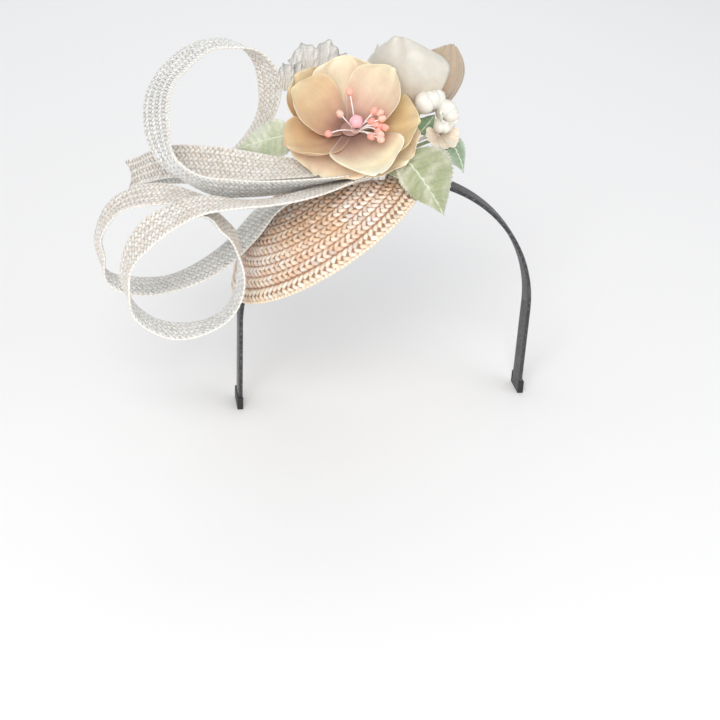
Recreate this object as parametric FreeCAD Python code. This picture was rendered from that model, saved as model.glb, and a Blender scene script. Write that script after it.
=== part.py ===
"""Loop and flower fascinator on an alice band.  Millimetres, +Z up, the wearer faces -Y.

The origin is the centre of the band's crown arc, and +X is the wearer's left.
Every piece is written to parts/NODE.step.
"""
import FreeCAD, Part
import math
import os
from FreeCAD import Vector as V

# --- alice band -------------------------------------------------------------------------
BAND_INNER_R = 75.0
BAND_THICK = 2.4
BAND_WIDTH = 12.0
CORE_THICK = 1.2
CORE_WIDTH = 8.0
CROWN_HALF_ANGLE = 86.0      # from +Z to each flex line
FLEX_GAP = 0.5               # between crown and arm at the flex line
ARM_BOTTOM_Z = -50.0
TIP_LENGTH = 7.0
TIP_WALL = 0.6

# --- domed straw base -------------------------------------------------------------------
CAP_RIM_CENTRE = V(-31.9, 2.9, 47.6)
CAP_AXIS = V(-0.55, 0.13, 0.82).normalize()
CAP_RIM_R = 58.0
CAP_HEIGHT = 27.5
STRAW_THICK = 1.8
BUCKRAM_THICK = 0.6
LINING_THICK = 0.4
EDGE_ROW_WIDTH = 3.4
EDGE_WIRE_R = 0.5

# --- straw strips -----------------------------------------------------------------------
STRIP_THICK = 1.0
STRIP_CUP = 0.5              # how far the middle of a strip's section stands off its edges

# Each row of a route is a point on the strip's centre line and, from there, the way to the
# front edge: x, y, z, then dx, dy, dz, which is half the strip's width.
LOOP_ROUTES = {
    "loop_middle": [
        (-13.5, -25.5, 89.0, -1.3, -7.5, 2.5), (-33.5, -21.0, 88.5, -1.2, -7.9, -0.2),
        (-57.0, -16.0, 88.5, -0.8, -7.7, -2.1), (-78.5, -9.0, 88.5, -0.9, -6.3, -4.8),
        (-95.5, -1.0, 87.5, -0.3, -5.8, -5.5), (-109.5, 7.0, 84.5, 0.2, -5.6, -5.7),
        (-121.0, 18.0, 77.0, 0.2, -6.7, -4.4), (-127.5, 30.0, 68.5, 0.0, -7.6, -2.6),
        (-121.5, 38.5, 65.5, 0.3, -7.4, -3.1), (-106.0, 38.5, 66.5, -0.1, -7.0, -3.9),
        (-85.5, 30.0, 68.5, -1.0, -7.4, -3.0), (-62.0, 13.5, 72.5, -1.2, -7.9, -0.8),
        (-41.5, -4.5, 79.5, -1.2, -7.8, 0.9), (-30.0, -12.0, 83.0, -1.3, -7.6, 2.0)],
    "loop_top": [
        (-13.5, -26.5, 87.0, -1.3, -7.5, 2.5), (-35.0, -29.0, 86.0, -1.5, -7.2, 3.2),
        (-55.5, -29.0, 84.5, -1.3, -5.9, 5.2), (-76.5, -27.5, 84.0, -1.7, -4.9, 6.1),
        (-91.5, -27.0, 85.5, -2.1, -4.5, 6.2), (-100.5, -25.5, 88.5, -0.4, -5.6, 5.7),
        (-109.5, -20.5, 94.0, 1.7, -6.3, 4.6), (-114.5, -9.5, 101.0, 4.2, -6.1, 3.0),
        (-115.5, 7.0, 110.5, 5.4, -5.2, 2.7), (-111.5, 22.5, 118.0, 5.5, -5.5, 1.8),
        (-100.0, 35.5, 126.0, 4.7, -6.4, 0.3), (-88.5, 43.5, 130.0, 1.8, -7.8, 0.1),
        (-74.5, 46.0, 129.5, 0.5, -7.9, 0.8), (-63.5, 45.0, 124.0, 1.6, -6.8, 3.8),
        (-57.5, 40.0, 111.5, 4.7, -5.5, 3.5), (-59.5, 34.0, 98.5, 3.8, -6.6, 2.4),
        (-67.0, 27.0, 89.5, 3.2, -6.7, 3.1), (-80.0, 16.5, 83.0, 2.0, -7.5, 1.9),
        (-99.0, 6.5, 83.5, 0.1, -7.0, -3.8)],
    "loop_left": [
        (-14.0, -30.5, 84.5, -1.3, -7.5, 2.5), (-34.5, -30.0, 81.0, -1.3, -7.7, 1.9),
        (-59.0, -33.5, 80.0, -1.3, -7.7, 1.9), (-82.0, -29.0, 77.0, -1.3, -7.6, 2.0),
        (-99.0, -20.5, 77.0, -1.0, -7.8, 1.3), (-116.5, -16.5, 78.0, -0.9, -7.7, -2.0),
        (-126.0, -12.5, 75.5, 0.5, -7.9, -1.2), (-135.0, -8.0, 70.0, 1.4, -7.9, 0.3),
        (-141.5, -5.5, 62.0, 1.9, -7.6, 1.5), (-145.5, -4.0, 51.0, 1.2, -7.1, 3.5),
        (-145.0, -4.0, 41.0, 1.1, -6.4, 4.7), (-142.5, -5.0, 30.5, -1.2, -7.0, 2.2),
        (-131.0, -6.0, 25.0, -1.9, -7.7, -0.5), (-112.5, -6.0, 25.0, -1.4, -7.8, -0.8),
        (-92.5, -5.5, 33.0, -0.8, -7.6, -2.5), (-77.5, -7.0, 46.5, 1.2, -7.7, -1.9),
        (-68.0, -10.5, 59.5, 2.5, -7.6, 0.3), (-55.5, -19.5, 71.0, 0.2, -7.8, 2.0),
        (-38.5, -26.5, 77.5, -1.0, -7.6, 2.1)],
    "loop_front": [
        (-13.5, -27.5, 85.5, -1.3, -7.5, 2.5), (-35.0, -34.0, 84.0, -1.0, -7.7, 1.8),
        (-60.5, -42.5, 84.0, -1.3, -7.7, 1.6), (-83.5, -41.0, 82.5, -1.5, -7.8, 1.1),
        (-96.5, -40.5, 82.5, -0.5, -7.9, -0.9), (-107.5, -40.0, 79.0, 2.4, -7.6, -1.1),
        (-120.0, -40.5, 72.0, 4.9, -6.3, -0.1), (-129.0, -41.5, 63.0, 4.3, -6.5, 1.6),
        (-134.0, -43.5, 53.5, 2.6, -6.5, 3.9), (-134.5, -46.0, 43.5, 0.9, -6.7, 4.3),
        (-131.5, -47.5, 34.0, -1.6, -6.9, 2.6), (-123.0, -50.0, 26.5, -2.4, -7.3, 1.4),
        (-112.5, -51.0, 23.0, -1.2, -7.9, 0.0), (-98.5, -50.0, 24.0, 0.2, -8.0, 0.8),
        (-87.0, -46.0, 29.0, 0.9, -7.8, 1.7), (-80.5, -39.0, 39.5, 1.2, -7.2, 3.3),
        (-80.0, -34.0, 49.5, -0.3, -6.9, 4.0), (-82.0, -32.0, 60.0, -2.6, -6.8, 3.3),
        (-89.0, -32.5, 69.0, -3.3, -6.8, 2.5), (-96.5, -34.5, 75.0, -2.6, -7.2, 2.4),
        (-102.5, -35.0, 76.0, -2.2, -7.4, 2.2)],
}

# --- flowers ----------------------------------------------------------------------------
PETAL_THICK = 0.6
PEACH_THROAT = V(-23.7, -3.0, 102.3)
PEACH_AXIS = V(-0.10, -0.46, 0.88).normalize()
PEACH_OUTER_R = 34.0
PEACH_OUTER_CUP = 9.0
PEACH_INNER_R = 24.0
PEACH_INNER_CUP = 14.0
PEACH_OUTER_COUNT = 5
PEACH_OUTER_CLOCK = 18
PEACH_OUTER_HALF = 34.5
PEACH_OUTER_DROP = 2.5
PEACH_INNER_COUNT = 4
PEACH_INNER_CLOCK = 50
PEACH_INNER_HALF = 42.5
PETAL_CLEARANCE = 0.8
PEACH_CORE_R = 3.6
PISTIL_R = 3.2
BEAD_R = 1.9
THREAD_R = 0.35
# Clock angle about the flower's axis (0 is the wearer's left), lean from the axis, length.
STAMENS = [(95, 42, 19), (143, 40, 12), (192, 48, 14), (38, 46, 18), (24, 38, 15), (10, 50, 19),
           (18, 30, 19), (2, 36, 15), (350, 46, 18), (340, 34, 17), (356, 24, 21),
           (328, 44, 16), (336, 22, 15), (320, 32, 21)]

CREAM_BASE = V(12.0, 14.0, 103.5)
CREAM_AXIS = V(0.12, 0.42, 0.90).normalize()
CREAM_R = 19.0
CREAM_HEIGHT = 27.0
CREAM_PETALS = 5
CREAM_CLOCK = 20
CREAM_HALF = 34.5
CREAM_START_R = 4.0
CREAM_BUD_RISE = 13.0
CREAM_BUD_R = 8.0

# --- buds: centre, long axis, half length, half width --------------------------------------
BUDS = {
    "bud_white_upper": (V(16.0, 0.0, 116.0), V(0.9, -0.1, 0.3), 7.5, 5.0),
    "bud_white_lower": (V(26.5, 1.0, 107.0), V(0.5, -0.2, -0.8), 6.0, 4.6),
    "bud_base_petals": (V(21.5, -2.5, 99.5), V(0.9, -0.2, -0.1), 6.0, 2.6),
}

# --- organza lobes: centre, which way the lobe runs, half width, height ---------------------
ORGANZA_LOBES = {
    "organza_ruffle_left": (V(-46.5, 26.0, 113.0), V(-1.0, -0.1, 0.1), 11.0, 15.0),
    "organza_ruffle_back": (V(-27.0, 36.0, 117.0), V(-1.0, -0.1, 0.0), 20.0, 19.0),
}
ORGANZA_UP = V(0.05, 0.35, 0.93)
ORGANZA_WAVE = 1.6
ORGANZA_THICK = 0.5

# --- mounting ---------------------------------------------------------------------------
STEM_R = 0.9
MOUNT_DISC_CENTRE = V(-14.0, 6.0, 84.0)
MOUNT_DISC_R = 10.0
MOUNT_DISC_THICK = 1.6
STEM_SINK = 0.8

# --- the wrapped tab that holds the strips' ends --------------------------------------------
BINDING_CORNER = V(-14.5, -37.5, 77.0)
BINDING_SIZE = (4.0, 22.0, 15.0)
BINDING_ROUND = 1.2

# --- leaves: base, tip, which way the blade faces, width, how far the middle arches ------
LEAVES = {
    "leaf_hanging": (V(-1.0, -19.0, 95.0), V(17.0, -37.5, 71.0), V(0.25, -0.9, 0.3), 21.0, 3.0),
    "leaf_under_flower": (V(-8.5, -17.5, 88.5), V(9.5, -20.5, 86.0), V(0.1, -0.6, 0.8), 9.0, 1.0),
    "leaf_dark_side": (V(26.5, 0.5, 95.5), V(33.0, -9.5, 81.0), V(0.5, -0.85, 0.2), 11.0, 1.5),
    "leaf_small_dark": (V(12.0, 2.0, 98.0), V(19.5, 3.5, 106.5), V(0.1, -0.9, 0.4), 9.0, 0.8),
    "leaf_left_pale": (V(-50.5, 4.5, 96.0), V(-78.0, 17.5, 94.5), V(-0.2, -0.8, 0.6), 19.0, 2.0),
}
LEAF_THICK = 0.5


def unit(v):
    return V(v).normalize()


def interpolated(points, parameters):
    curve = Part.BSplineCurve()
    curve.interpolate(Points=points, Parameters=parameters)
    return curve


def pole_grid(rows, along_at, across_at):
    """Poles of the smooth surface through a grid of points, and a curve each way for its knots."""
    columns = [interpolated(list(column), along_at) for column in zip(*rows)]
    cross = [interpolated(list(poles), across_at) for poles in zip(*[c.getPoles() for c in columns])]
    return [c.getPoles() for c in cross], columns[0], cross[0]


def spline_face(poles, along, across):
    surface = Part.BSplineSurface()
    surface.buildFromPolesMultsKnots(
        poles, along.getMultiplicities(), across.getMultiplicities(),
        along.getKnots(), across.getKnots(), False, False, along.Degree, across.Degree)
    return surface.toShape()


def sheet_solid(rows, thickness):
    """A thin closed solid whose middle surface passes through a grid of points."""
    last_i = len(rows) - 1
    last_j = len(rows[0]) - 1
    sides = ([], [])
    for i, row in enumerate(rows):
        for side in sides:
            side.append([])
        for j, point in enumerate(row):
            along = rows[min(i + 1, last_i)][j] - rows[max(i - 1, 0)][j]
            across = row[min(j + 1, last_j)] - row[max(j - 1, 0)]
            step = unit(across.cross(along)) * (thickness / 2)
            sides[0][i].append(point + step)
            sides[1][i].append(point - step)
    middle = [row[last_j // 2] for row in rows]
    along_at = [0.0]
    for here, there in zip(middle, middle[1:]):
        along_at.append(along_at[-1] + (there - here).Length)
    along_at = [a / along_at[-1] for a in along_at]
    across_at = [j / last_j for j in range(last_j + 1)]
    top, along, across = pole_grid(sides[0], along_at, across_at)
    bottom = pole_grid(sides[1], along_at, across_at)[0]
    through = Part.BSplineCurve([V(0, 0, 0), V(0, 0, 1)], [2, 2], [0.0, 1.0], False, 1)
    faces = [spline_face(top, along, across), spline_face(bottom, along, across)]
    for k in (0, -1):
        faces.append(spline_face([top[k], bottom[k]], through, across))
        faces.append(spline_face([[p[k], q[k]] for p, q in zip(top, bottom)], along, through))
    shell = Part.Shell(faces)
    shell.sewShape()
    solid = Part.Solid(Part.Shell(shell.Faces))
    if solid.Volume < 0:
        solid.reverse()
    return solid


def one_solid(shape):
    """The largest solid left by a cut, on its own."""
    return max(shape.Solids, key=lambda s: s.Volume)


def frame_about(axis, reference):
    """Two unit vectors square to the axis, the first as near as can be to the reference."""
    first = unit(reference - axis * reference.dot(axis))
    return first, axis.cross(first)


def rod(start, end, radius):
    return Part.makeCylinder(radius, (end - start).Length, start, end - start)


# --- band -------------------------------------------------------------------------------
def polar(radius, angle_deg):
    angle = math.radians(angle_deg)
    return V(radius * math.sin(angle), 0, radius * math.cos(angle))


def arc_bar(r_inner, r_outer, width, start_deg, end_deg):
    """A bar bent round the band's axis, between two angles from +Z towards +X."""
    middle = (start_deg + end_deg) / 2
    edges = [Part.Arc(polar(r_outer, start_deg), polar(r_outer, middle),
                      polar(r_outer, end_deg)).toShape(),
             Part.LineSegment(polar(r_outer, end_deg), polar(r_inner, end_deg)).toShape(),
             Part.Arc(polar(r_inner, end_deg), polar(r_inner, middle),
                      polar(r_inner, start_deg)).toShape(),
             Part.LineSegment(polar(r_inner, start_deg), polar(r_outer, start_deg)).toShape()]
    face = Part.Face(Part.Wire(edges))
    face.translate(V(0, -width / 2, 0))
    return face.extrude(V(0, width, 0))


def band_bar(side, r_inner, r_outer, width, bottom_z):
    """One arm's bar: the last of the arc below the flex line, then straight down."""
    gap_deg = math.degrees(FLEX_GAP / BAND_INNER_R)
    arc = arc_bar(r_inner, r_outer, width, side * (CROWN_HALF_ANGLE + gap_deg), side * 90)
    leg_x = r_inner if side > 0 else -r_outer
    leg = Part.makeBox(r_outer - r_inner, width, -bottom_z, V(leg_x, -width / 2, bottom_z))
    return arc.fuse(leg).removeSplitter()


def build_band():
    r_outer = BAND_INNER_R + BAND_THICK
    core_in = BAND_INNER_R + (BAND_THICK - CORE_THICK) / 2
    core_out = core_in + CORE_THICK
    nodes = {}
    angle = CROWN_HALF_ANGLE
    core = arc_bar(core_in, core_out, CORE_WIDTH, -angle, angle)
    nodes["band_core_crown"] = core
    nodes["band_cover_crown"] = arc_bar(BAND_INNER_R, r_outer, BAND_WIDTH, -angle, angle).cut(core)
    for side, word in ((1, "left"), (-1, "right")):
        core = band_bar(side, core_in, core_out, CORE_WIDTH, ARM_BOTTOM_Z)
        cover = band_bar(side, BAND_INNER_R, r_outer, BAND_WIDTH, ARM_BOTTOM_Z)
        tip_x = BAND_INNER_R if side > 0 else -r_outer - TIP_WALL
        tip = Part.makeBox(BAND_THICK + TIP_WALL, BAND_WIDTH + 2 * TIP_WALL, TIP_LENGTH,
                           V(tip_x, -BAND_WIDTH / 2 - TIP_WALL, ARM_BOTTOM_Z - TIP_WALL))
        nodes["band_core_" + word] = core
        nodes["band_cover_" + word] = cover.cut(core)
        nodes["band_tip_" + word] = tip.cut(cover)
    return nodes


# --- base -------------------------------------------------------------------------------
SPHERE_R = (CAP_RIM_R ** 2 + CAP_HEIGHT ** 2) / (2 * CAP_HEIGHT)
SPHERE_CENTRE = CAP_RIM_CENTRE + CAP_AXIS * (CAP_HEIGHT - SPHERE_R)


def dome_zone(r_inner, r_outer, low, high):
    """The part of a spherical shell between two heights above the rim plane."""
    shell = Part.makeSphere(r_outer, SPHERE_CENTRE).cut(Part.makeSphere(r_inner, SPHERE_CENTRE))
    slab = Part.makeCylinder(2 * CAP_RIM_R, high - low, CAP_RIM_CENTRE + CAP_AXIS * low, CAP_AXIS)
    return one_solid(shell.common(slab))


def build_base():
    top = 2 * CAP_HEIGHT
    straw_in = SPHERE_R - STRAW_THICK
    buckram_in = straw_in - BUCKRAM_THICK
    lining_in = buckram_in - LINING_THICK
    wire_height = 1.0
    rim_to_centre = SPHERE_R - CAP_HEIGHT + wire_height
    wire_ring_r = math.sqrt(lining_in ** 2 - rim_to_centre ** 2) - EDGE_WIRE_R - 0.2
    wire = Part.makeTorus(wire_ring_r, EDGE_WIRE_R, CAP_RIM_CENTRE + CAP_AXIS * wire_height, CAP_AXIS)
    return {
        "base_straw_braid": dome_zone(straw_in, SPHERE_R, EDGE_ROW_WIDTH, top),
        "base_edge_braid": dome_zone(straw_in, SPHERE_R, 0, EDGE_ROW_WIDTH),
        "base_buckram": dome_zone(buckram_in, straw_in, 0, top),
        "base_lining": dome_zone(lining_in, buckram_in, 0, top),
        "base_edge_wire": wire,
    }


def build_seat_pads(nodes):
    """Felt pads that fill the space between the band and the base near the rim."""
    pads = {}
    r_outer = BAND_INNER_R + BAND_THICK
    in_plane = unit(CAP_AXIS.cross(V(0, 1, 0)))
    for word, sign in (("crown", -1), ("side", 1)):
        rim_point = CAP_RIM_CENTRE + in_plane * (sign * (CAP_RIM_R - 10))
        angle = math.degrees(math.atan2(rim_point.x, rim_point.z))
        pad = arc_bar(r_outer, r_outer + 6, BAND_WIDTH - 2, angle - 3.5, angle + 3.5)
        solid_dome = Part.makeSphere(SPHERE_R - STRAW_THICK - BUCKRAM_THICK - LINING_THICK,
                                     SPHERE_CENTRE)
        pad = pad.common(solid_dome).cut(nodes["base_edge_wire"])
        pads["base_seat_pad_" + word] = one_solid(pad)
    return pads


# --- loops ------------------------------------------------------------------------------
def strip_rows(route):
    """Five points across the strip at each row of its route, with a slight cup."""
    rows = []
    for i, (x, y, z, dx, dy, dz) in enumerate(route):
        ahead = route[min(i + 1, len(route) - 1)]
        behind = route[max(i - 1, 0)]
        along = unit(V(*ahead[:3]) - V(*behind[:3]))
        edge = V(dx, dy, dz)
        half = edge.Length
        edge = unit(edge - along * edge.dot(along)) * half
        off = unit(edge.cross(along)) * STRIP_CUP
        centre = V(x, y, z)
        rows.append([centre + edge * s + off * (1 - s * s) for s in (-1, -0.5, 0, 0.5, 1)])
    return rows


def build_loops():
    return {name: sheet_solid(strip_rows(route), STRIP_THICK) for name, route in LOOP_ROUTES.items()}


def build_root_binding(nodes):
    """The wrapped tab on the base that all the strips' ends go into."""
    block = Part.makeBox(*BINDING_SIZE, BINDING_CORNER)
    block = block.makeFillet(BINDING_ROUND, block.Edges)
    return {"loop_root_binding": one_solid(block.cut(Part.makeSphere(SPHERE_R, SPHERE_CENTRE)))}


# --- flowers ----------------------------------------------------------------------------
def cup_petal(base, axis, reference, clock_deg, half_deg, r_start, r_end, height, power):
    """One petal of a cup: height rises with radius to the given power."""
    first, second = frame_about(axis, reference)
    rows = []
    steps = 7
    for i in range(steps):
        t = i / (steps - 1)
        radius = r_start + (r_end - r_start) * t
        rise = height * t ** power
        spread = half_deg * (0.75 + 0.25 * math.sin(math.pi * min(1, t * 1.15)))
        row = []
        for j in range(7):
            s = (j - 3) / 3
            angle = math.radians(clock_deg + spread * s)
            rim = 1 - 0.16 * t * t * s * s
            out = first * math.cos(angle) + second * math.sin(angle)
            row.append(base + out * (radius * rim) + axis * rise)
        rows.append(row)
    return sheet_solid(rows, PETAL_THICK)


def build_peach_flower():
    nodes = {}
    left = V(1, 0, 0)
    start_r = PEACH_CORE_R + PETAL_CLEARANCE
    outer_base = PEACH_THROAT - PEACH_AXIS * PEACH_OUTER_DROP
    for k in range(PEACH_OUTER_COUNT):
        clock = PEACH_OUTER_CLOCK + 360 / PEACH_OUTER_COUNT * k
        nodes["peach_petal_outer_%d" % (k + 1)] = cup_petal(
            outer_base, PEACH_AXIS, left, clock, PEACH_OUTER_HALF,
            start_r, PEACH_OUTER_R, PEACH_OUTER_CUP, 1.6)
    for k in range(PEACH_INNER_COUNT):
        clock = PEACH_INNER_CLOCK + 360 / PEACH_INNER_COUNT * k
        nodes["peach_petal_inner_%d" % (k + 1)] = cup_petal(
            PEACH_THROAT, PEACH_AXIS, left, clock, PEACH_INNER_HALF,
            start_r, PEACH_INNER_R, PEACH_INNER_CUP, 1.3)
    calyx_base = PEACH_THROAT - PEACH_AXIS * 6
    nodes["peach_calyx"] = Part.makeCone(1.5, PEACH_CORE_R, 7, calyx_base, PEACH_AXIS)
    throat = PEACH_THROAT + PEACH_AXIS * 1.2
    bundle = Part.makeCylinder(3.0, 0.8, throat, PEACH_AXIS)
    nodes["peach_pistil"] = Part.makeSphere(PISTIL_R, throat + PEACH_AXIS * (PISTIL_R + 2.5))
    first, second = frame_about(PEACH_AXIS, left)
    threads = []
    beads = []
    for clock, lean, length in STAMENS:
        c = math.radians(clock)
        tilt = math.radians(lean)
        out = first * math.cos(c) + second * math.sin(c)
        way = out * math.sin(tilt) + PEACH_AXIS * math.cos(tilt)
        foot = throat + out * 2.2
        threads.append(rod(foot, foot + way * (length - BEAD_R), THREAD_R))
        beads.append(Part.makeSphere(BEAD_R, foot + way * length))
    nodes["peach_stamen_threads"] = one_solid(bundle.multiFuse(threads).cut(nodes["peach_pistil"]))
    nodes["peach_stamen_heads"] = Part.makeCompound(beads)
    return nodes


def build_cream_flower():
    nodes = {}
    for k in range(CREAM_PETALS):
        nodes["cream_petal_%d" % (k + 1)] = cup_petal(
            CREAM_BASE, CREAM_AXIS, V(1, 0, 0), CREAM_CLOCK + 360 / CREAM_PETALS * k, CREAM_HALF,
            CREAM_START_R, CREAM_R, CREAM_HEIGHT, 1.5)
    bud_centre = CREAM_BASE + CREAM_AXIS * CREAM_BUD_RISE
    nodes["cream_inner_bud"] = Part.makeSphere(CREAM_BUD_R, bud_centre)
    nodes["cream_calyx"] = Part.makeCone(1.5, 3.4, 6, CREAM_BASE - CREAM_AXIS * 5, CREAM_AXIS)
    return nodes


def build_buds():
    def ellipsoid(centre, axis, length, radius):
        ball = Part.makeSphere(1)
        matrix = FreeCAD.Matrix()
        matrix.scale(radius, radius, length)
        shape = ball.transformGeometry(matrix)
        shape.Placement = FreeCAD.Placement(V(0, 0, 0), FreeCAD.Rotation(V(0, 0, 1), axis))
        shape.translate(centre)
        return shape
    return {name: ellipsoid(*bud) for name, bud in BUDS.items()}


def build_organza():
    """Two crumpled lobes of sheer ribbon behind the peach flower."""
    nodes = {}
    up = ORGANZA_UP
    for name, (centre, way, half_width, height) in ORGANZA_LOBES.items():
        way = unit(way)
        depth = up.cross(way)
        rows = []
        for i in range(5):
            rise = i / 4
            row = []
            for j in range(13):
                s = (j - 6) / 6
                wave = ORGANZA_WAVE * math.sin(j * math.pi / 2) * rise
                drop = 0.35 * height * s * s * rise
                row.append(centre + way * (half_width * s * (0.55 + 0.45 * rise)) + depth * wave
                           + up * (height * (rise - 0.5) - drop))
            rows.append(row)
        nodes[name] = sheet_solid(rows, ORGANZA_THICK)
    return nodes


def build_leaves():
    nodes = {}
    for name, (base, tip, facing, width, arch) in LEAVES.items():
        along = tip - base
        normal = unit(facing - along * (facing.dot(along) / along.dot(along)))
        side = unit(along).cross(normal)
        rows = []
        for i in range(9):
            t = i / 8
            half = width / 2 * (0.12 + 0.88 * math.sin(math.pi * (0.06 + 0.9 * t) ** 0.85))
            lift = normal * (arch * 4 * t * (1 - t))
            row = []
            for j in range(5):
                s = (j - 2) / 2
                fold = normal * (-0.10 * width * (s * s) * math.sin(math.pi * t))
                row.append(base + along * t + side * (half * s) + lift + fold)
            rows.append(row)
        nodes[name] = sheet_solid(rows, LEAF_THICK)
    return nodes


def build_mounting(nodes):
    """The felt disc on the base, and the wire stems that stand on it."""
    disc_axis = unit(MOUNT_DISC_CENTRE - SPHERE_CENTRE)
    shell = Part.makeSphere(SPHERE_R + MOUNT_DISC_THICK, SPHERE_CENTRE)
    shell = shell.cut(Part.makeSphere(SPHERE_R, SPHERE_CENTRE))
    column = Part.makeCylinder(MOUNT_DISC_R, 40, SPHERE_CENTRE + disc_axis * 55, disc_axis)
    disc = one_solid(shell.common(column))
    first, second = frame_about(disc_axis, V(1, 0, 0))
    top = SPHERE_CENTRE + disc_axis * (SPHERE_R + MOUNT_DISC_THICK - STEM_SINK)
    stems = {
        "peach_stem": (top - first * 5 - second * 4, PEACH_THROAT - PEACH_AXIS * 5.5, "peach_calyx"),
        "cream_stem": (top + first * 3 + second * 4, CREAM_BASE - CREAM_AXIS * 4.5, "cream_calyx"),
        "bud_stem": (top + first * 6 - second * 2, V(17.5, -1.5, 100.0), "bud_base_petals"),
        "leaf_stem_hanging": (top + first * 4 - second * 7, LEAVES["leaf_hanging"][0],
                              "leaf_hanging"),
        "leaf_stem_left": (top - first * 8 + second * 1, LEAVES["leaf_left_pale"][0],
                           "leaf_left_pale"),
        "leaf_stem_dark": (top + first * 7.5 - second * 5, LEAVES["leaf_dark_side"][0],
                           "leaf_dark_side"),
        "leaf_stem_small": (top + first * 8 + second * 1.5, LEAVES["leaf_small_dark"][0],
                            "leaf_small_dark"),
        "organza_stem_left": (top - first * 5 + second * 5.5, V(-46.6, 23.4, 105.8),
                              "organza_ruffle_left"),
        "organza_stem_back": (top - first * 1 + second * 8, V(-27.4, 33.0, 107.9),
                              "organza_ruffle_back"),
    }
    out = {"flower_mount_disc": disc}
    for name, (start, end, target) in stems.items():
        out[name] = one_solid(rod(start, end, STEM_R).cut(disc).cut(nodes[target]))
    return out


def main():
    nodes = {}
    nodes.update(build_band())
    nodes.update(build_base())
    nodes.update(build_seat_pads(nodes))
    nodes.update(build_loops())
    nodes.update(build_root_binding(nodes))
    nodes.update(build_peach_flower())
    nodes.update(build_cream_flower())
    nodes.update(build_buds())
    nodes.update(build_organza())
    nodes.update(build_leaves())
    nodes.update(build_mounting(nodes))
    os.makedirs("parts", exist_ok=True)
    for name, shape in nodes.items():
        shape.exportStep(os.path.join("parts", name + ".step"))
        print("%-24s valid=%s solids=%d volume=%.1f mm3" % (
            name, shape.isValid(), len(shape.Solids), shape.Volume))
    print(len(nodes), "nodes")


main()
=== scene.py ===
import math

import bpy
import numpy as np
from mathutils import Matrix, Vector, noise


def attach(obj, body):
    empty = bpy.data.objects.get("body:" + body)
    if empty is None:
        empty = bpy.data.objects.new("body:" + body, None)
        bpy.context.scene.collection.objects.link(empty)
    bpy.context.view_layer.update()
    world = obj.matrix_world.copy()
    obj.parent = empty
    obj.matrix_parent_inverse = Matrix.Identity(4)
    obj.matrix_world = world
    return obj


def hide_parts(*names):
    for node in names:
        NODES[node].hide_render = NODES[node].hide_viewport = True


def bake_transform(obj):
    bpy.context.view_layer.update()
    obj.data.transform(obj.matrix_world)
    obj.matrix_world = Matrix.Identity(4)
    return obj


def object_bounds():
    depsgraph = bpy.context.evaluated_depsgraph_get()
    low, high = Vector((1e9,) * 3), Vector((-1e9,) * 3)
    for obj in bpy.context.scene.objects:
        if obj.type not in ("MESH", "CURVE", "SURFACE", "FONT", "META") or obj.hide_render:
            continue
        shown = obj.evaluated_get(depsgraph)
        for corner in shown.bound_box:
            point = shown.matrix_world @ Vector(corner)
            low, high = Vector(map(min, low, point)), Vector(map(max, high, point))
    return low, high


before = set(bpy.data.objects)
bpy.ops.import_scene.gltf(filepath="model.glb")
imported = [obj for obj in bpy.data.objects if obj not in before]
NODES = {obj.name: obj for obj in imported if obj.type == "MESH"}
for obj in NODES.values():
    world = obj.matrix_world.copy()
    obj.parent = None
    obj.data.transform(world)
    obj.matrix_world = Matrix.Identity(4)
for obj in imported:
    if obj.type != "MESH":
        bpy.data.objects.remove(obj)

cad_low, cad_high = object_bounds()
MM = 0.001
rng = np.random.default_rng(11)


def added(name, data):
    """A new object in the scene."""
    obj = bpy.data.objects.new(name, data)
    bpy.context.scene.collection.objects.link(obj)
    return obj


# ---- camera ----
CAMERA_AT = (-0.1494, -0.6454, 0.3527)
AZIMUTH, ELEVATION, ROLL = (math.radians(a) for a in (-12.0, 30.0, 3.0))
LENS = 71.8


def add_camera():
    back = Vector((math.sin(AZIMUTH) * math.cos(ELEVATION),
                   -math.cos(AZIMUTH) * math.cos(ELEVATION), math.sin(ELEVATION)))
    level = Vector((math.cos(AZIMUTH), math.sin(AZIMUTH), 0))
    rise = back.cross(level)
    right = level * math.cos(ROLL) + rise * math.sin(ROLL)
    up = back.cross(right)
    data = bpy.data.cameras.new("camera")
    data.lens = LENS
    data.sensor_width = 36
    camera = added("camera", data)
    camera.matrix_world = Matrix.Translation(CAMERA_AT) @ Matrix(
        (right, up, back)).transposed().to_4x4()
    bpy.context.scene.camera = camera


add_camera()


# ---- mesh helpers (all sizes here in mm) ----
def unit(v):
    v = np.asarray(v, float)
    return v / np.maximum(np.linalg.norm(v, axis=-1, keepdims=True), 1e-12)


def smoothstep(low, high, x):
    t = np.clip((np.asarray(x, float) - low) / (high - low), 0, 1)
    return t * t * (3 - 2 * t)


def mix(a, b, w):
    w = np.asarray(w, float)[..., None]
    return np.asarray(a, float) * (1 - w) + np.asarray(b, float) * w


def lattice(first, second):
    """Every pair of two sets of values, as two grids."""
    return np.meshgrid(first, second, indexing="ij")


def between(first, second, angle):
    """The direction at an angle from first towards second."""
    return first * math.cos(angle) + second * math.sin(angle)


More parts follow.
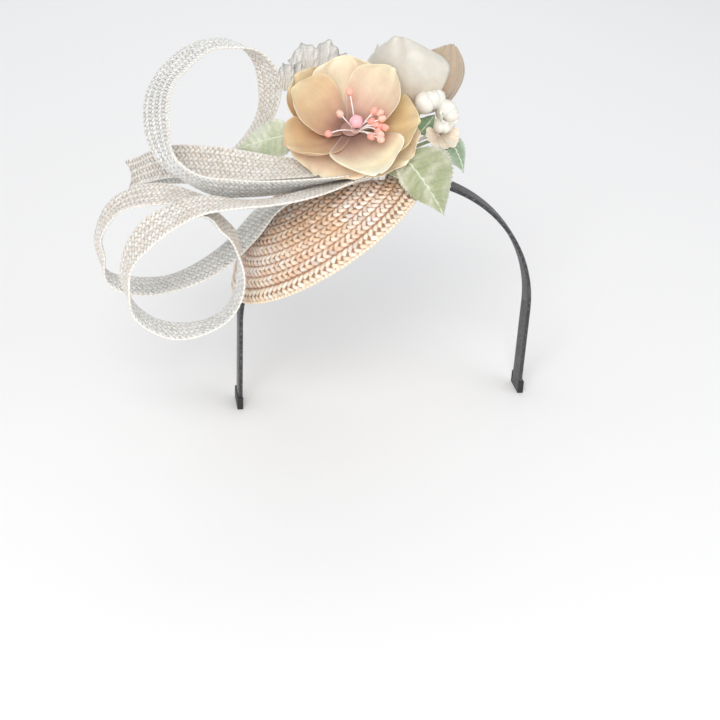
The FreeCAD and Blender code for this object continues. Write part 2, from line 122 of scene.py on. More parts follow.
def natural_spline(knots, values, at):
    """A natural cubic spline through values at knots, read at the given places."""
    n = len(knots)
    h = np.diff(knots)[:, None]
    slope = np.diff(values, axis=0) / h
    system = np.eye(n)
    right = np.zeros_like(values)
    for i in range(1, n - 1):
        system[i, i - 1:i + 2] = h[i - 1, 0], 2 * (h[i - 1, 0] + h[i, 0]), h[i, 0]
        right[i] = 6 * (slope[i] - slope[i - 1])
    second = np.linalg.solve(system, right)
    k = np.clip(np.searchsorted(knots, at) - 1, 0, n - 2)
    u = (at - knots[k])[:, None]
    step = h[k]
    return (values[k] + u * (slope[k] - step * (2 * second[k] + second[k + 1]) / 6)
            + u ** 2 * second[k] / 2 + u ** 3 * (second[k + 1] - second[k]) / (6 * step))


def arc_lengths(points):
    """How far along a line of points each of them lies."""
    return np.concatenate([[0], np.cumsum(np.linalg.norm(np.diff(points, axis=0), axis=1))])


def grid_faces(n, m, flip=False, close_m=False):
    i, j = lattice(np.arange(n - 1), np.arange(m if close_m else m - 1))
    i, j = i.ravel(), j.ravel()
    k = (j + 1) % m
    quads = np.stack([i * m + j, i * m + k, (i + 1) * m + k, (i + 1) * m + j], -1)
    return quads[:, ::-1] if flip else quads


def blank_uv(points):
    return np.zeros((len(points), 2))


def joined(parts):
    """Several (points, faces, tones, uvs) as one."""
    start, out = 0, ([], [], [], [])
    for points, faces, tones, uvs in parts:
        out[0].append(points)
        out[1].append(np.asarray(faces) + start)
        out[2].append(tones)
        out[3].append(uvs)
        start += len(points)
    return tuple(np.concatenate(x) for x in out)


def surface_normals(grid):
    return unit(np.cross(np.gradient(grid, axis=0), np.gradient(grid, axis=1)))


def sheet_part(grid, thickness, tone, back_tone=None):
    """A thin closed sheet about a grid of points; tone is one colour for each of them."""
    n, m = grid.shape[:2]
    step = surface_normals(grid) * (np.asarray(thickness) / 2 * np.ones((n, m)))[..., None]
    points = np.concatenate([(grid + step).reshape(-1, 3), (grid - step).reshape(-1, 3)])
    size = n * m
    faces = [grid_faces(n, m), grid_faces(n, m, flip=True) + size]
    ring = np.concatenate([np.arange(m - 1), np.arange(n - 1) * m + m - 1,
                           (n - 1) * m + np.arange(m - 1, 0, -1), np.arange(n - 1, 0, -1) * m])
    after = np.roll(ring, -1)
    faces.append(np.stack([after, ring, ring + size, after + size], -1))
    tone = np.broadcast_to(tone, grid.shape).reshape(-1, 3)
    back = tone if back_tone is None else np.broadcast_to(back_tone, grid.shape).reshape(-1, 3)
    along, across = lattice(np.linspace(0, 1, n), np.linspace(0, 1, m))
    uv = np.stack([along.ravel(), across.ravel()], -1)
    return points, np.concatenate(faces), np.concatenate([tone, back]), np.concatenate([uv, uv])


def turned(sides):
    """Angles evenly round a circle."""
    return np.linspace(0, 2 * math.pi, sides, endpoint=False)


def end_caps(rows, sides, first_centre):
    """Triangles that close a tube of rings at both ends, about two centre points."""
    j = np.arange(sides)
    k = (j + 1) % sides
    low = (rows - 1) * sides
    start = np.full(sides, first_centre)
    return np.concatenate([np.stack([k, j, start, start], -1),
                           np.stack([low + j, low + k, start + 1, start + 1], -1)])


def tube_part(path, radius, tone, sides=8, closed=False):
    path = np.asarray(path, float)
    n = len(path)
    steps = np.roll(path, -1, 0) - np.roll(path, 1, 0) if closed else np.gradient(path, axis=0)
    along = unit(steps)
    first = np.cross(along[0], (0.3, 0.5, 0.8))
    firsts = []
    for t in along:
        first = unit(first - t * np.dot(first, t))
        firsts.append(first)
    first = np.array(firsts)
    second = np.cross(along, first)
    turn = turned(sides)[:, None]
    radius = np.broadcast_to(radius, n)[:, None, None]
    ring = first[:, None] * np.cos(turn) + second[:, None] * np.sin(turn)
    points = (path[:, None] + ring * radius).reshape(-1, 3)
    faces = grid_faces(n, sides, close_m=True)
    if closed:
        j = np.arange(sides)
        k = (j + 1) % sides
        last = (n - 1) * sides
        faces = np.concatenate([faces, np.stack([last + j, last + k, k, j], -1)])
    else:
        points = np.concatenate([points, path[:1], path[-1:]])
        faces = np.concatenate([faces, end_caps(n, sides, n * sides)])
    tones = np.broadcast_to(tone, (len(points), 3)) if np.ndim(tone) == 1 else np.asarray(tone)
    return points, faces, tones, blank_uv(points)


def ball_part(centre, axis, length, radius, tone, shape=None, rings=16, sides=24):
    """A closed rounded form; shape(polar, turn) scales its radius to give folds and dents."""
    polar = np.linspace(0.02, math.pi - 0.02, rings)[:, None] * np.ones((1, sides))
    turn = turned(sides)[None] * np.ones((rings, 1))
    scale = 1.0 if shape is None else shape(polar, turn)
    axis = unit(axis)
    first = unit(np.cross(axis, (0.2, 0.9, 0.3)))
    second = np.cross(axis, first)
    side = first * np.cos(turn)[..., None] + second * np.sin(turn)[..., None]
    grid = (np.asarray(centre, float) + side * (radius * scale * np.sin(polar))[..., None]
            + axis * (length * scale * np.cos(polar))[..., None])
    points = grid.reshape(-1, 3)
    faces = grid_faces(rings, sides, close_m=True)
    tone = np.broadcast_to(tone, (rings, sides, 3)).reshape(-1, 3)
    faces = np.concatenate([faces, end_caps(rings, sides, len(points))])
    points = np.concatenate([points, points[:sides].mean(0)[None], points[-sides:].mean(0)[None]])
    tone = np.concatenate([tone, tone[:1], tone[-1:]])
    return points, faces, tone, blank_uv(points)


def piece(name, parts, slot, look=None, body="crown", nodes=None):
    """One shown piece made of mesh parts, in place of CAD nodes: its own, if none are named."""
    points, faces, tones, uvs = joined(parts)
    mesh = bpy.data.meshes.new(name)
    clean = [list(dict.fromkeys(f)) for f in faces.tolist()]
    mesh.from_pydata((points * MM).tolist(), [], clean)
    colour = mesh.color_attributes.new("tone", "FLOAT_COLOR", "POINT")
    colour.data.foreach_set("color", np.c_[tones, np.ones(len(tones))].astype(np.float32).ravel())
    corners = np.zeros(len(mesh.loops), np.int32)
    mesh.loops.foreach_get("vertex_index", corners)
    layer = mesh.uv_layers.new(name="along")
    layer.data.foreach_set("uv", uvs[corners].astype(np.float32).ravel())
    mesh.polygons.foreach_set("use_smooth", np.full(len(mesh.polygons), True))
    mesh.materials.append(MATERIALS[look or slot])
    mesh.update()
    obj = added(name, mesh)
    if body:
        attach(obj, body)
    nodes = [name] if nodes is None else nodes
    if nodes:
        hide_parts(*nodes)
    return obj


# ---- materials ----
class Look:
    """A node-based material: constants sit on the shader, and detail comes from nodes."""

    def __init__(self, name, colour, rough, **sockets):
        self.material = bpy.data.materials.new(name)
        self.material.use_nodes = True
        self.nodes = self.material.node_tree.nodes
        self.links = self.material.node_tree.links
        self.shader = self.nodes["Principled BSDF"]
        self.shader.inputs["Base Color"].default_value = (*colour, 1)
        self.shader.inputs["Roughness"].default_value = rough
        for socket, value in sockets.items():
            self.shader.inputs[socket.replace("_", " ")].default_value = value
        self.colour = None
        self.normal = None

    def node(self, kind, **values):
        made = self.nodes.new(kind)
        for key, value in values.items():
            if key[0].isupper():
                made.inputs[key.replace("_", " ")].default_value = value
            else:
                setattr(made, key, value)
        return made

    def place(self, stretch=(1, 1, 1), uv=False):
        source = self.node("ShaderNodeTexCoord")
        scale = self.node("ShaderNodeMapping")
        scale.inputs["Scale"].default_value = stretch
        self.links.new(source.outputs["UV" if uv else "Object"], scale.inputs["Vector"])
        return scale.outputs["Vector"]

    def show(self, socket):
        self.colour = socket
        self.links.new(socket, self.shader.inputs["Base Color"])
        return self

    def toned(self):
        """Takes the colour painted on the mesh."""
        return self.show(self.node("ShaderNodeVertexColor", layer_name="tone").outputs["Color"])

    def varied(self, scale, dark, light, detail=3.0):
        """Multiplies the colour by noise between dark and light."""
        grain = self.node("ShaderNodeTexNoise", Scale=scale, Detail=detail)
        self.links.new(self.place(), grain.inputs["Vector"])
        ramp = self.node("ShaderNodeMapRange")
        ranges = {"From Min": 0.3, "From Max": 0.7, "To Min": dark, "To Max": light}
        for key, value in ranges.items():
            ramp.inputs[key].default_value = value
        self.links.new(grain.outputs["Fac"], ramp.inputs["Value"])
        times = self.node("ShaderNodeMix", data_type="RGBA", blend_type="MULTIPLY")
        times.inputs["Factor"].default_value = 1
        if self.colour is None:
            times.inputs[6].default_value = self.shader.inputs["Base Color"].default_value
        else:
            self.links.new(self.colour, times.inputs[6])
        self.links.new(ramp.outputs["Result"], times.inputs[7])
        return self.show(times.outputs[2])

    def raised(self, height, strength, distance):
        bump = self.node("ShaderNodeBump", Strength=strength, Distance=distance)
        self.links.new(height, bump.inputs["Height"])
        if self.normal is not None:
            self.links.new(self.normal, bump.inputs["Normal"])
        self.normal = bump.outputs["Normal"]
        self.links.new(self.normal, self.shader.inputs["Normal"])
        return self

    def noisy(self, scale, strength, distance=0.0002, stretch=(1, 1, 1), uv=False, detail=3.0):
        grain = self.node("ShaderNodeTexNoise", Scale=scale, Detail=detail)
        self.links.new(self.place(stretch, uv), grain.inputs["Vector"])
        return self.raised(grain.outputs["Fac"], strength, distance)

    def woven(self, scale, strength, distance=0.0001):
        """Threads that cross, along the three axes; a scale of 1 gives about 3 in a metre."""
        total = None
        for way in ("X", "Y", "Z"):
            wave = self.node("ShaderNodeTexWave", bands_direction=way, Scale=scale, Distortion=1.5)
            self.links.new(self.place(), wave.inputs["Vector"])
            if total is None:
                total = wave.outputs["Fac"]
                continue
            add = self.node("ShaderNodeMath", operation="MAXIMUM")
            self.links.new(total, add.inputs[0])
            self.links.new(wave.outputs["Fac"], add.inputs[1])
            total = add.outputs["Value"]
        return self.raised(total, strength, distance)

    def fibred(self, count, strength, distance=0.0001):
        """Fine lines along a grain of straw."""
        wave = self.node("ShaderNodeTexWave", bands_direction="Y", Scale=count, Distortion=2.0)
        wave.inputs["Detail"].default_value = 2
        self.links.new(self.place(uv=True), wave.inputs["Vector"])
        return self.raised(wave.outputs["Fac"], strength, distance)


def straw_look(name, rough, gloss):
    return Look(name, (0.9, 0.85, 0.75), rough, Coat_Weight=gloss, Coat_Roughness=0.25,
                Sheen_Weight=0.1).toned().varied(900, 0.86, 1.1).fibred(1.6, 0.35, 0.00015).material


def silk_look(name, rough, sheen):
    look = Look(name, (0.95, 0.85, 0.7), rough, Sheen_Weight=sheen, Sheen_Roughness=0.35,
                Subsurface_Weight=0.12, Subsurface_Scale=0.002)
    look.toned().varied(180, 0.93, 1.05)
    look.noisy(14, 0.22, 0.0007, stretch=(0.5, 5, 1), uv=True)
    return look.noisy(3500, 0.06, 0.0001).material


MATERIALS = {
    "loop_straw": straw_look("straw_ivory", 0.30, 0.35),
    "straw": straw_look("straw_peach", 0.36, 0.22),
    "peach_silk": silk_look("silk_peach", 0.36, 0.35),
    "cream_silk": silk_look("silk_cream", 0.30, 0.45),
    "white_satin": silk_look("satin_white", 0.22, 0.3),
    "organza": Look("organza", (0.9, 0.9, 0.87), 0.35, Alpha=0.72, Sheen_Weight=0.6).toned()
    .varied(2600, 0.75, 1.15).woven(2400, 0.4).material,
    "leaf": Look("leaf_velvet", (0.6, 0.7, 0.5), 0.7, Sheen_Weight=0.7, Sheen_Roughness=0.5,
                 Subsurface_Weight=0.05, Subsurface_Scale=0.001).toned().varied(500, 0.88, 1.1)
    .noisy(5200, 0.35, 0.0002).material,
    "stamen": Look("stamen_coral", (0.96, 0.5, 0.42), 0.5, Subsurface_Weight=0.1,
                   Subsurface_Scale=0.001).toned().varied(1500, 0.9, 1.08)
    .noisy(3000, 0.2).material,
    "thread": Look("thread_white", (0.95, 0.94, 0.92), 0.55, Sheen_Weight=0.3).toned()
    .varied(3000, 0.92, 1.05).noisy(6000, 0.3).material,
    "band": Look("band_sparkle", (0.012, 0.012, 0.014), 0.55, Sheen_Weight=0.25).toned()
    .varied(3200, 0.3, 2.6, detail=6).woven(1500, 0.7, 0.0003).material,
    "plastic": Look("band_plastic", (0.03, 0.03, 0.03), 0.4).varied(300, 0.8, 1.2)
    .noisy(1800, 0.1).material,
    "tip": Look("tip_rubber", (0.02, 0.02, 0.022), 0.5).varied(400, 0.8, 1.2)
    .noisy(2500, 0.25).material,
    "buckram": Look("buckram", (0.86, 0.82, 0.74), 0.8).varied(300, 0.9, 1.05)
    .woven(700, 0.8, 0.0004).material,
    "lining": Look("lining", (0.74, 0.62, 0.5), 0.6, Sheen_Weight=0.4).varied(120, 0.92, 1.06)
    .woven(1600, 0.5, 0.0002).material,
    "wire": Look("edge_wire", (0.7, 0.7, 0.7), 0.3, Metallic=1.0).varied(900, 0.85, 1.1)
    .noisy(2500, 0.15).material,
    "felt": Look("felt", (0.8, 0.75, 0.66), 0.95, Sheen_Weight=0.5).varied(600, 0.85, 1.08)
    .noisy(2600, 0.8, 0.0005, detail=6).material,
    "paper": Look("paper_wrap", (0.42, 0.52, 0.3), 0.75).toned().varied(700, 0.8, 1.12)
    .noisy(1800, 0.5, 0.0003).material,
}

CAD_LOOKS = {
    "plastic": ["band_core_crown", "band_core_left", "band_core_right"],
    "tip": ["band_tip_left", "band_tip_right"],
    "buckram": ["base_buckram"],
    "wire": ["base_edge_wire"],
}
for look, names in CAD_LOOKS.items():
    for name in names:
        NODES[name].data.materials.clear()
        NODES[name].data.materials.append(MATERIALS[look])


# ---- straw: one grain is a low rounded lozenge, and a row is two slanted lines of them ----
GRAIN_STEP = 2.5             # from one grain to the next along a line
GRAIN_RISE = 0.34
GRAIN_ANGLE = 0.66           # between a grain and its row, in radians
GRAIN_ROWS, GRAIN_COLUMNS = 6, 4
GRAIN_POINTS = GRAIN_ROWS * GRAIN_COLUMNS
GRAIN_A, GRAIN_B = (x.ravel() for x in lattice(np.linspace(-1, 1, GRAIN_ROWS),
                                               np.linspace(-1, 1, GRAIN_COLUMNS)))


def grains(place, along, across, slant, row_half, tones, gap_shade, lift=0.0, rise=GRAIN_RISE,
           seam=0.6, step=GRAIN_STEP):
    """Lozenges at (along, across), mapped to space by place(s, t, h, which); which tells the
    grain. A grain sinks at its end beside the seam. Its colour darkens towards the gap colour
    there, at its other end and along its sides, as painted shade in the gaps between grains."""
    count = len(along)
    jitter = rng.normal(0, 1, (4, count, 1))
    angle = slant[:, None] * (GRAIN_ANGLE + 0.05 * jitter[0])
    half_long = row_half * 0.5 / np.sin(GRAIN_ANGLE) * 1.12 * (1 + 0.05 * jitter[1])
    half_wide = step * np.sin(GRAIN_ANGLE) * 0.54 * (1 + 0.06 * jitter[2])
    a, b = GRAIN_A[None], GRAIN_B[None]
    thin = np.sqrt(np.clip(1 - 0.62 * a ** 4, 0, 1))
    u = a * half_long
    v = b * half_wide * thin
    s = along[:, None] + u * np.cos(angle) - v * np.sin(angle) + 0.3 * half_long * (a ** 2 - 0.5)
    t = across[:, None] + u * np.sin(angle) + v * np.cos(angle)
    dome = (1 - b ** 2) * (1 - 0.55 * a ** 4)
    at_seam = smoothstep(0.25, 1.0, a)
    h = lift + rise * (1 + 0.12 * jitter[3]) * dome - 0.10 * b - 0.22 * at_seam
    which = np.broadcast_to(np.arange(count)[:, None], s.shape)
    points = place(s, t, h, which).reshape(-1, 3)
    quads = grid_faces(GRAIN_ROWS, GRAIN_COLUMNS)
    faces = (quads[None] + np.arange(count)[:, None, None] * GRAIN_POINTS).reshape(-1, 4)
    # Painted shade: how far each point darkens to the gap colour, most at the seam end, less at the
    # centre end and along the sides.
    seam_shade = np.clip(seam * at_seam + 0.3 * smoothstep(0.7, 1, -a)
                   + 0.36 * seam * np.abs(b) ** 3, 0, 1)
    tone = mix(np.broadcast_to(tones[:, None, :], (count, GRAIN_POINTS, 3)), np.array(gap_shade),
               np.broadcast_to(seam_shade, (count, GRAIN_POINTS))).reshape(-1, 3)
    uv = np.stack([np.broadcast_to(a, s.shape) * 0.5 + jitter[0], np.broadcast_to(b, s.shape)
                   + jitter[1] * 3], -1).reshape(-1, 2)
    return points, faces, tone, uv


def straw_tones(count, ramp, spread=0.06, fleck=0.12, dark=0.72):
    """Colours of single grains: a mix of the ramp's colours, each a little lighter or darker."""
    ramp = np.array(ramp)
    pick = rng.random(count) * (len(ramp) - 1)
    low = np.minimum(pick.astype(int), len(ramp) - 2)
    tone = ramp[low] * (1 - (pick - low))[:, None] + ramp[low + 1] * (pick - low)[:, None]
    scale = 1 + spread * rng.normal(0, 1, (count, 1))
    scale = np.where(rng.random((count, 1)) < fleck, scale * dark, scale)
    return np.clip(tone * scale, 0, 1)


# ---- the four straw strips ----
STRIP_HALF = 8.0
STRIP_CUP = 0.5
STRIP_ROWS = 4
STRIP_ROW = 2 * STRIP_HALF / STRIP_ROWS
CORE_THICK = 0.34
BEAD_PITCH = 2.3             # of the small beads along a strip's edges
LOOP_ROUTES = {
    "loop_middle": [
        (-13.5, -25.5, 89.0, -1.3, -7.5, 2.5), (-33.5, -21.0, 88.5, -1.2, -7.9, -0.2),
        (-57.0, -16.0, 88.5, -0.8, -7.7, -2.1), (-78.5, -9.0, 88.5, -0.9, -6.3, -4.8),
        (-95.5, -1.0, 87.5, -0.3, -5.8, -5.5), (-109.5, 7.0, 84.5, 0.2, -5.6, -5.7),
        (-121.0, 18.0, 77.0, 0.2, -6.7, -4.4), (-127.5, 30.0, 68.5, 0.0, -7.6, -2.6),
        (-121.5, 38.5, 65.5, 0.3, -7.4, -3.1), (-106.0, 38.5, 66.5, -0.1, -7.0, -3.9),
        (-85.5, 30.0, 68.5, -1.0, -7.4, -3.0), (-62.0, 13.5, 72.5, -1.2, -7.9, -0.8),
        (-41.5, -4.5, 79.5, -1.2, -7.8, 0.9), (-30.0, -12.0, 83.0, -1.3, -7.6, 2.0)],
    "loop_top": [
        (-13.5, -26.5, 87.0, -1.3, -7.5, 2.5), (-35.0, -29.0, 86.0, -1.5, -7.2, 3.2),
        (-55.5, -29.0, 84.5, -1.3, -5.9, 5.2), (-76.5, -27.5, 84.0, -1.7, -4.9, 6.1),
        (-91.5, -27.0, 85.5, -2.1, -4.5, 6.2), (-100.5, -25.5, 88.5, -0.4, -5.6, 5.7),
        (-109.5, -20.5, 94.0, 1.7, -6.3, 4.6), (-114.5, -9.5, 101.0, 4.2, -6.1, 3.0),
        (-115.5, 7.0, 110.5, 5.4, -5.2, 2.7), (-111.5, 22.5, 118.0, 5.5, -5.5, 1.8),
        (-100.0, 35.5, 126.0, 4.7, -6.4, 0.3), (-88.5, 43.5, 130.0, 1.8, -7.8, 0.1),
        (-74.5, 46.0, 129.5, 0.5, -7.9, 0.8), (-63.5, 45.0, 124.0, 1.6, -6.8, 3.8),
        (-57.5, 40.0, 111.5, 4.7, -5.5, 3.5), (-59.5, 34.0, 98.5, 3.8, -6.6, 2.4),
        (-67.0, 27.0, 89.5, 3.2, -6.7, 3.1), (-80.0, 16.5, 83.0, 2.0, -7.5, 1.9),
        (-99.0, 6.5, 83.5, 0.1, -7.0, -3.8)],
    "loop_left": [
        (-14.0, -30.5, 84.5, -1.3, -7.5, 2.5), (-34.5, -30.0, 81.0, -1.3, -7.7, 1.9),
        (-59.0, -33.5, 80.0, -1.3, -7.7, 1.9), (-82.0, -29.0, 77.0, -1.3, -7.6, 2.0),
        (-99.0, -20.5, 77.0, -1.0, -7.8, 1.3), (-116.5, -16.5, 78.0, -0.9, -7.7, -2.0),
        (-126.0, -12.5, 75.5, 0.5, -7.9, -1.2), (-135.0, -8.0, 70.0, 1.4, -7.9, 0.3),
        (-141.5, -5.5, 62.0, 1.9, -7.6, 1.5), (-145.5, -4.0, 51.0, 1.2, -7.1, 3.5),
        (-145.0, -4.0, 41.0, 1.1, -6.4, 4.7), (-142.5, -5.0, 30.5, -1.2, -7.0, 2.2),
        (-131.0, -6.0, 25.0, -1.9, -7.7, -0.5), (-112.5, -6.0, 25.0, -1.4, -7.8, -0.8),
        (-92.5, -5.5, 33.0, -0.8, -7.6, -2.5), (-77.5, -7.0, 46.5, 1.2, -7.7, -1.9),
        (-68.0, -10.5, 59.5, 2.5, -7.6, 0.3), (-55.5, -19.5, 71.0, 0.2, -7.8, 2.0),
        (-38.5, -26.5, 77.5, -1.0, -7.6, 2.1)],
    "loop_front": [
        (-13.5, -27.5, 85.5, -1.3, -7.5, 2.5), (-35.0, -34.0, 84.0, -1.0, -7.7, 1.8),
        (-60.5, -42.5, 84.0, -1.3, -7.7, 1.6), (-83.5, -41.0, 82.5, -1.5, -7.8, 1.1),
        (-96.5, -40.5, 82.5, -0.5, -7.9, -0.9), (-107.5, -40.0, 79.0, 2.4, -7.6, -1.1),
        (-120.0, -40.5, 72.0, 4.9, -6.3, -0.1), (-129.0, -41.5, 63.0, 4.3, -6.5, 1.6),
        (-134.0, -43.5, 53.5, 2.6, -6.5, 3.9), (-134.5, -46.0, 43.5, 0.9, -6.7, 4.3),
        (-131.5, -47.5, 34.0, -1.6, -6.9, 2.6), (-123.0, -50.0, 26.5, -2.4, -7.3, 1.4),
        (-112.5, -51.0, 23.0, -1.2, -7.9, 0.0), (-98.5, -50.0, 24.0, 0.2, -8.0, 0.8),
        (-87.0, -46.0, 29.0, 0.9, -7.8, 1.7), (-80.5, -39.0, 39.5, 1.2, -7.2, 3.3),
        (-80.0, -34.0, 49.5, -0.3, -6.9, 4.0), (-82.0, -32.0, 60.0, -2.6, -6.8, 3.3),
        (-89.0, -32.5, 69.0, -3.3, -6.8, 2.5), (-96.5, -34.5, 75.0, -2.6, -7.2, 2.4),
        (-102.5, -35.0, 76.0, -2.2, -7.4, 2.2)],
}
# The first colour list is one face of each strip. The second is the other face, which mostly turns
# from the light: a warmer beige, partly the straw's own tone and partly painted shade.
IVORY = [(0.85, 0.85, 0.82), (0.87, 0.89, 0.89), (0.83, 0.81, 0.77), (0.88, 0.90, 0.91)]
CHAMPAGNE_AND_SHADE = [(0.88, 0.84, 0.77), (0.92, 0.89, 0.85), (0.84, 0.76, 0.67), (0.91, 0.87, 0.82)]
# Painted shade: the grey-brown of each strip's core and of its grains' ends stands for the shade in
# the gaps between grains.
STRIP_GAP_SHADE = (0.46, 0.42, 0.36)
# Near the root the strips are gathered: narrower, and drawn in under the flower.
ROOT_PINCH, PINCH_REACH, DRAW_REACH = 0.4, 32.0, 62.0
ROOT_DRAW = {"loop_middle": (0, 4.0, 1.5), "loop_top": (0, 5.0, 1.5), "loop_left": (0, 9.0, 1.5),
             "loop_front": (0, 6.0, 1.8)}
TAIL_DRAW = {"loop_left": (0, 8.0, 0.5)}
TAIL_REACH = 45.0


class Strip:
    """A strip's middle line, edges and faces, read at any distance along it."""

    def __init__(self, route, root_draw, tail_draw):
        rows = np.array(route, float)
        knots = arc_lengths(rows[:, :3])
        place = np.linspace(0, knots[-1], 700)
        fine = natural_spline(knots, rows, place)
        near_root = 1 - smoothstep(0, DRAW_REACH, place)[:, None]
        near_tail = 1 - smoothstep(0, TAIL_REACH, knots[-1] - place)[:, None]
        self.centre = (fine[:, :3] + near_root * np.array(root_draw)
                       + near_tail * np.array(tail_draw))
        along = unit(np.gradient(self.centre, axis=0))
        edge = fine[:, 3:]
        self.edge = unit(edge - along * (edge * along).sum(1, keepdims=True))
        self.off = np.cross(self.edge, along)
        self.arc = arc_lengths(self.centre)
        self.length = self.arc[-1]

    def read(self, table, s):
        return np.stack([np.interp(s, self.arc, table[:, k]) for k in range(3)], -1)

    def at(self, s, t, h):
        cup = STRIP_CUP * (1 - (t / STRIP_HALF) ** 2)
        wide = 1 - (1 - ROOT_PINCH) * (1 - smoothstep(0, PINCH_REACH, s))
        return (self.read(self.centre, s) + self.read(self.edge, s) * (t * wide)[..., None]
                + self.read(self.off, s) * (cup + h)[..., None])


def row_bulge(t):
    """How far a braid row swells above the seam beside it."""
    return 0.42 * np.abs(np.sin(math.pi * (t + STRIP_HALF) / STRIP_ROW)) ** 0.7


def strip_parts(strip):
    """A core in the painted-shade colour of the gaps, the grains on its two faces and a beaded
    thread along each edge.
    """
    s, t = lattice(np.linspace(0, strip.length, int(strip.length / 1.2)),
                       np.linspace(-STRIP_HALF + 0.3, STRIP_HALF - 0.3, 25))
    core = strip.at(s, t, np.zeros_like(s))
    parts = [sheet_part(core, CORE_THICK + 1.2 * row_bulge(t), STRIP_GAP_SHADE)]
    places = np.arange(GRAIN_STEP, strip.length - GRAIN_STEP * 0.6, GRAIN_STEP)
    for face, ramp in ((1, IVORY), (-1, CHAMPAGNE_AND_SHADE)):
        for k in range(STRIP_ROWS):
            middle = -STRIP_HALF + STRIP_ROW * (k + 0.5)
            for half in (-1, 1):
                along = places + rng.normal(0, 0.08, len(places)) + (0.5 * half + 0.31 * k) * 1.2
                along = np.clip(along, 1.6, strip.length - 1.6)
                across = np.full(len(along), middle + half * STRIP_ROW / 4)
                tones = straw_tones(len(along), ramp, spread=0.025, fleck=0.05, dark=0.86)

                def place(s, t, h, which, face=face):
                    return strip.at(s, np.clip(t, -STRIP_HALF, STRIP_HALF),
                                    face * (h + row_bulge(t)))

                made = grains(place, along, across, np.full(len(along), float(half)), STRIP_ROW / 2,
                              tones, STRIP_GAP_SHADE, lift=0.12, seam=0.9)
                if face < 0:
                    made = (made[0], made[1][:, ::-1], made[2], made[3])
                parts.append(made)
    s = np.linspace(0, strip.length, int(strip.length / 0.45))
    for side in (-1, 1):
        path = strip.at(s, np.full_like(s, side * (STRIP_HALF - 0.25)), np.zeros_like(s))
        swell = np.sin(2 * math.pi * s / BEAD_PITCH)
        # Painted shade: the edge thread darkens where it narrows between beads.
        tone = mix((0.74, 0.69, 0.61), (0.90, 0.87, 0.81), 0.6 + 0.4 * swell)
        tone = np.repeat(tone, 8, axis=0)
        tone = np.concatenate([tone, tone[:1], tone[-1:]])
        parts.append(tube_part(path, 0.46 + 0.08 * swell, tone, sides=8))
    return parts


for name, route in LOOP_ROUTES.items():
    strip = Strip(route, ROOT_DRAW[name], TAIL_DRAW.get(name, (0, 0, 0)))
    piece(name, strip_parts(strip), "loop_straw")


def root_binding_parts():
    """Thread wound round the gathered ends of the strips."""
    centre = np.array((-12.6, -22.4, 88.2))
    half_across, half_tall, half_long = 3.6, 3.3, 2.6
    turn = turned(48)
    parts = [ball_part(centre, (1, 0, 0), half_long + 1.0, half_tall - 0.2, (0.80, 0.74, 0.66))]
    for k, x in enumerate(np.arange(-half_long, half_long + 0.1, 0.62)):
        ring = centre + np.stack([x + 0.25 * np.sin(turn + k), half_across * np.cos(turn),
                                  half_tall * np.sin(turn)], -1)
        parts.append(tube_part(ring, 0.36, straw_tones(1, IVORY)[0], sides=7, closed=True))
    return parts


piece("loop_root_binding", root_binding_parts(), "loop_straw")

# ---- the base: rows of braid sewn round a dome ----
CAP_RIM_CENTRE = np.array([-31.9, 2.9, 47.6])
CAP_AXIS = unit((-0.55, 0.13, 0.82))
CAP_RIM_R, CAP_HEIGHT = 58.0, 27.5
SPHERE_R = (CAP_RIM_R ** 2 + CAP_HEIGHT ** 2) / (2 * CAP_HEIGHT)
SPHERE_CENTRE = CAP_RIM_CENTRE + CAP_AXIS * (CAP_HEIGHT - SPHERE_R)
STRAW_THICK = 1.8
BUCKRAM_THICK = 0.6
LINING_INNER = 0.4           # from the buckram to the lining's inner side
ROW_PITCH = 5.6
EDGE_ROW = 5.4
BRAID_STEP = 3.3
CAP_FIRST = unit(np.cross((0, 1, 0), CAP_AXIS))
CAP_SECOND = np.cross(CAP_AXIS, CAP_FIRST)
RIM_POLAR = math.asin(CAP_RIM_R / SPHERE_R)
EDGE_POLAR = math.acos(math.cos(RIM_POLAR) + EDGE_ROW / SPHERE_R)
PEACH = [(0.92, 0.72, 0.54), (0.97, 0.85, 0.72), (0.86, 0.61, 0.43), (0.97, 0.90, 0.82),
         (0.92, 0.74, 0.62)]
EDGE_PEACH = [(0.95, 0.80, 0.62), (0.98, 0.90, 0.78), (0.92, 0.72, 0.52)]
# Painted shade: the dark red-brown of the backing shell and of the grains' ends stands for the
# shade between grains.
BASE_GAP_SHADE = (0.42, 0.22, 0.12)
ROW_SINK = 0.7               # how far a row sinks beside the seam
BACKING_SIDES = 160
EDGE_STEPS, EDGE_BEADS = 900, 170


def on_dome(polar, turn, h):
    way = (CAP_AXIS * np.cos(polar)[..., None]
           + CAP_FIRST * (np.sin(polar) * np.cos(turn))[..., None]
           + CAP_SECOND * (np.sin(polar) * np.sin(turn))[..., None])
    return SPHERE_CENTRE + way * (SPHERE_R + h)[..., None]


def dome_backing(polar_low, polar_high, outer):
    """The closed shell that shows between the grains; its dark red-brown is painted shade in the
    gaps.
    """
    inner = -STRAW_THICK + 0.05
    steps = max(4, int((polar_high - polar_low) * SPHERE_R / 1.7))
    polar, turn = lattice(np.linspace(max(polar_low, 0.004), polar_high, steps),
                              turned(BACKING_SIDES))
    size = steps * BACKING_SIDES
    points = np.concatenate([on_dome(polar, turn, np.full_like(polar, h)).reshape(-1, 3)
                             for h in (outer, inner)])
    wall = grid_faces(steps, BACKING_SIDES, close_m=True)
    faces = [wall, wall[:, ::-1] + size]
    j = np.arange(BACKING_SIDES)
    k = (j + 1) % BACKING_SIDES
    for start, way in ((0, 1), (size - BACKING_SIDES, -1)):
        rim = np.stack([start + j, start + k, start + k + size, start + j + size], -1)
        faces.append(rim[:, ::way])
    return points, np.concatenate(faces), np.tile(BASE_GAP_SHADE, (len(points), 1)), blank_uv(points)


def grain_ring(turns, polar, slant):
    """One line of grains round the dome, at one polar angle."""
    return turns, np.full(len(turns), polar), np.full(len(turns), float(slant))


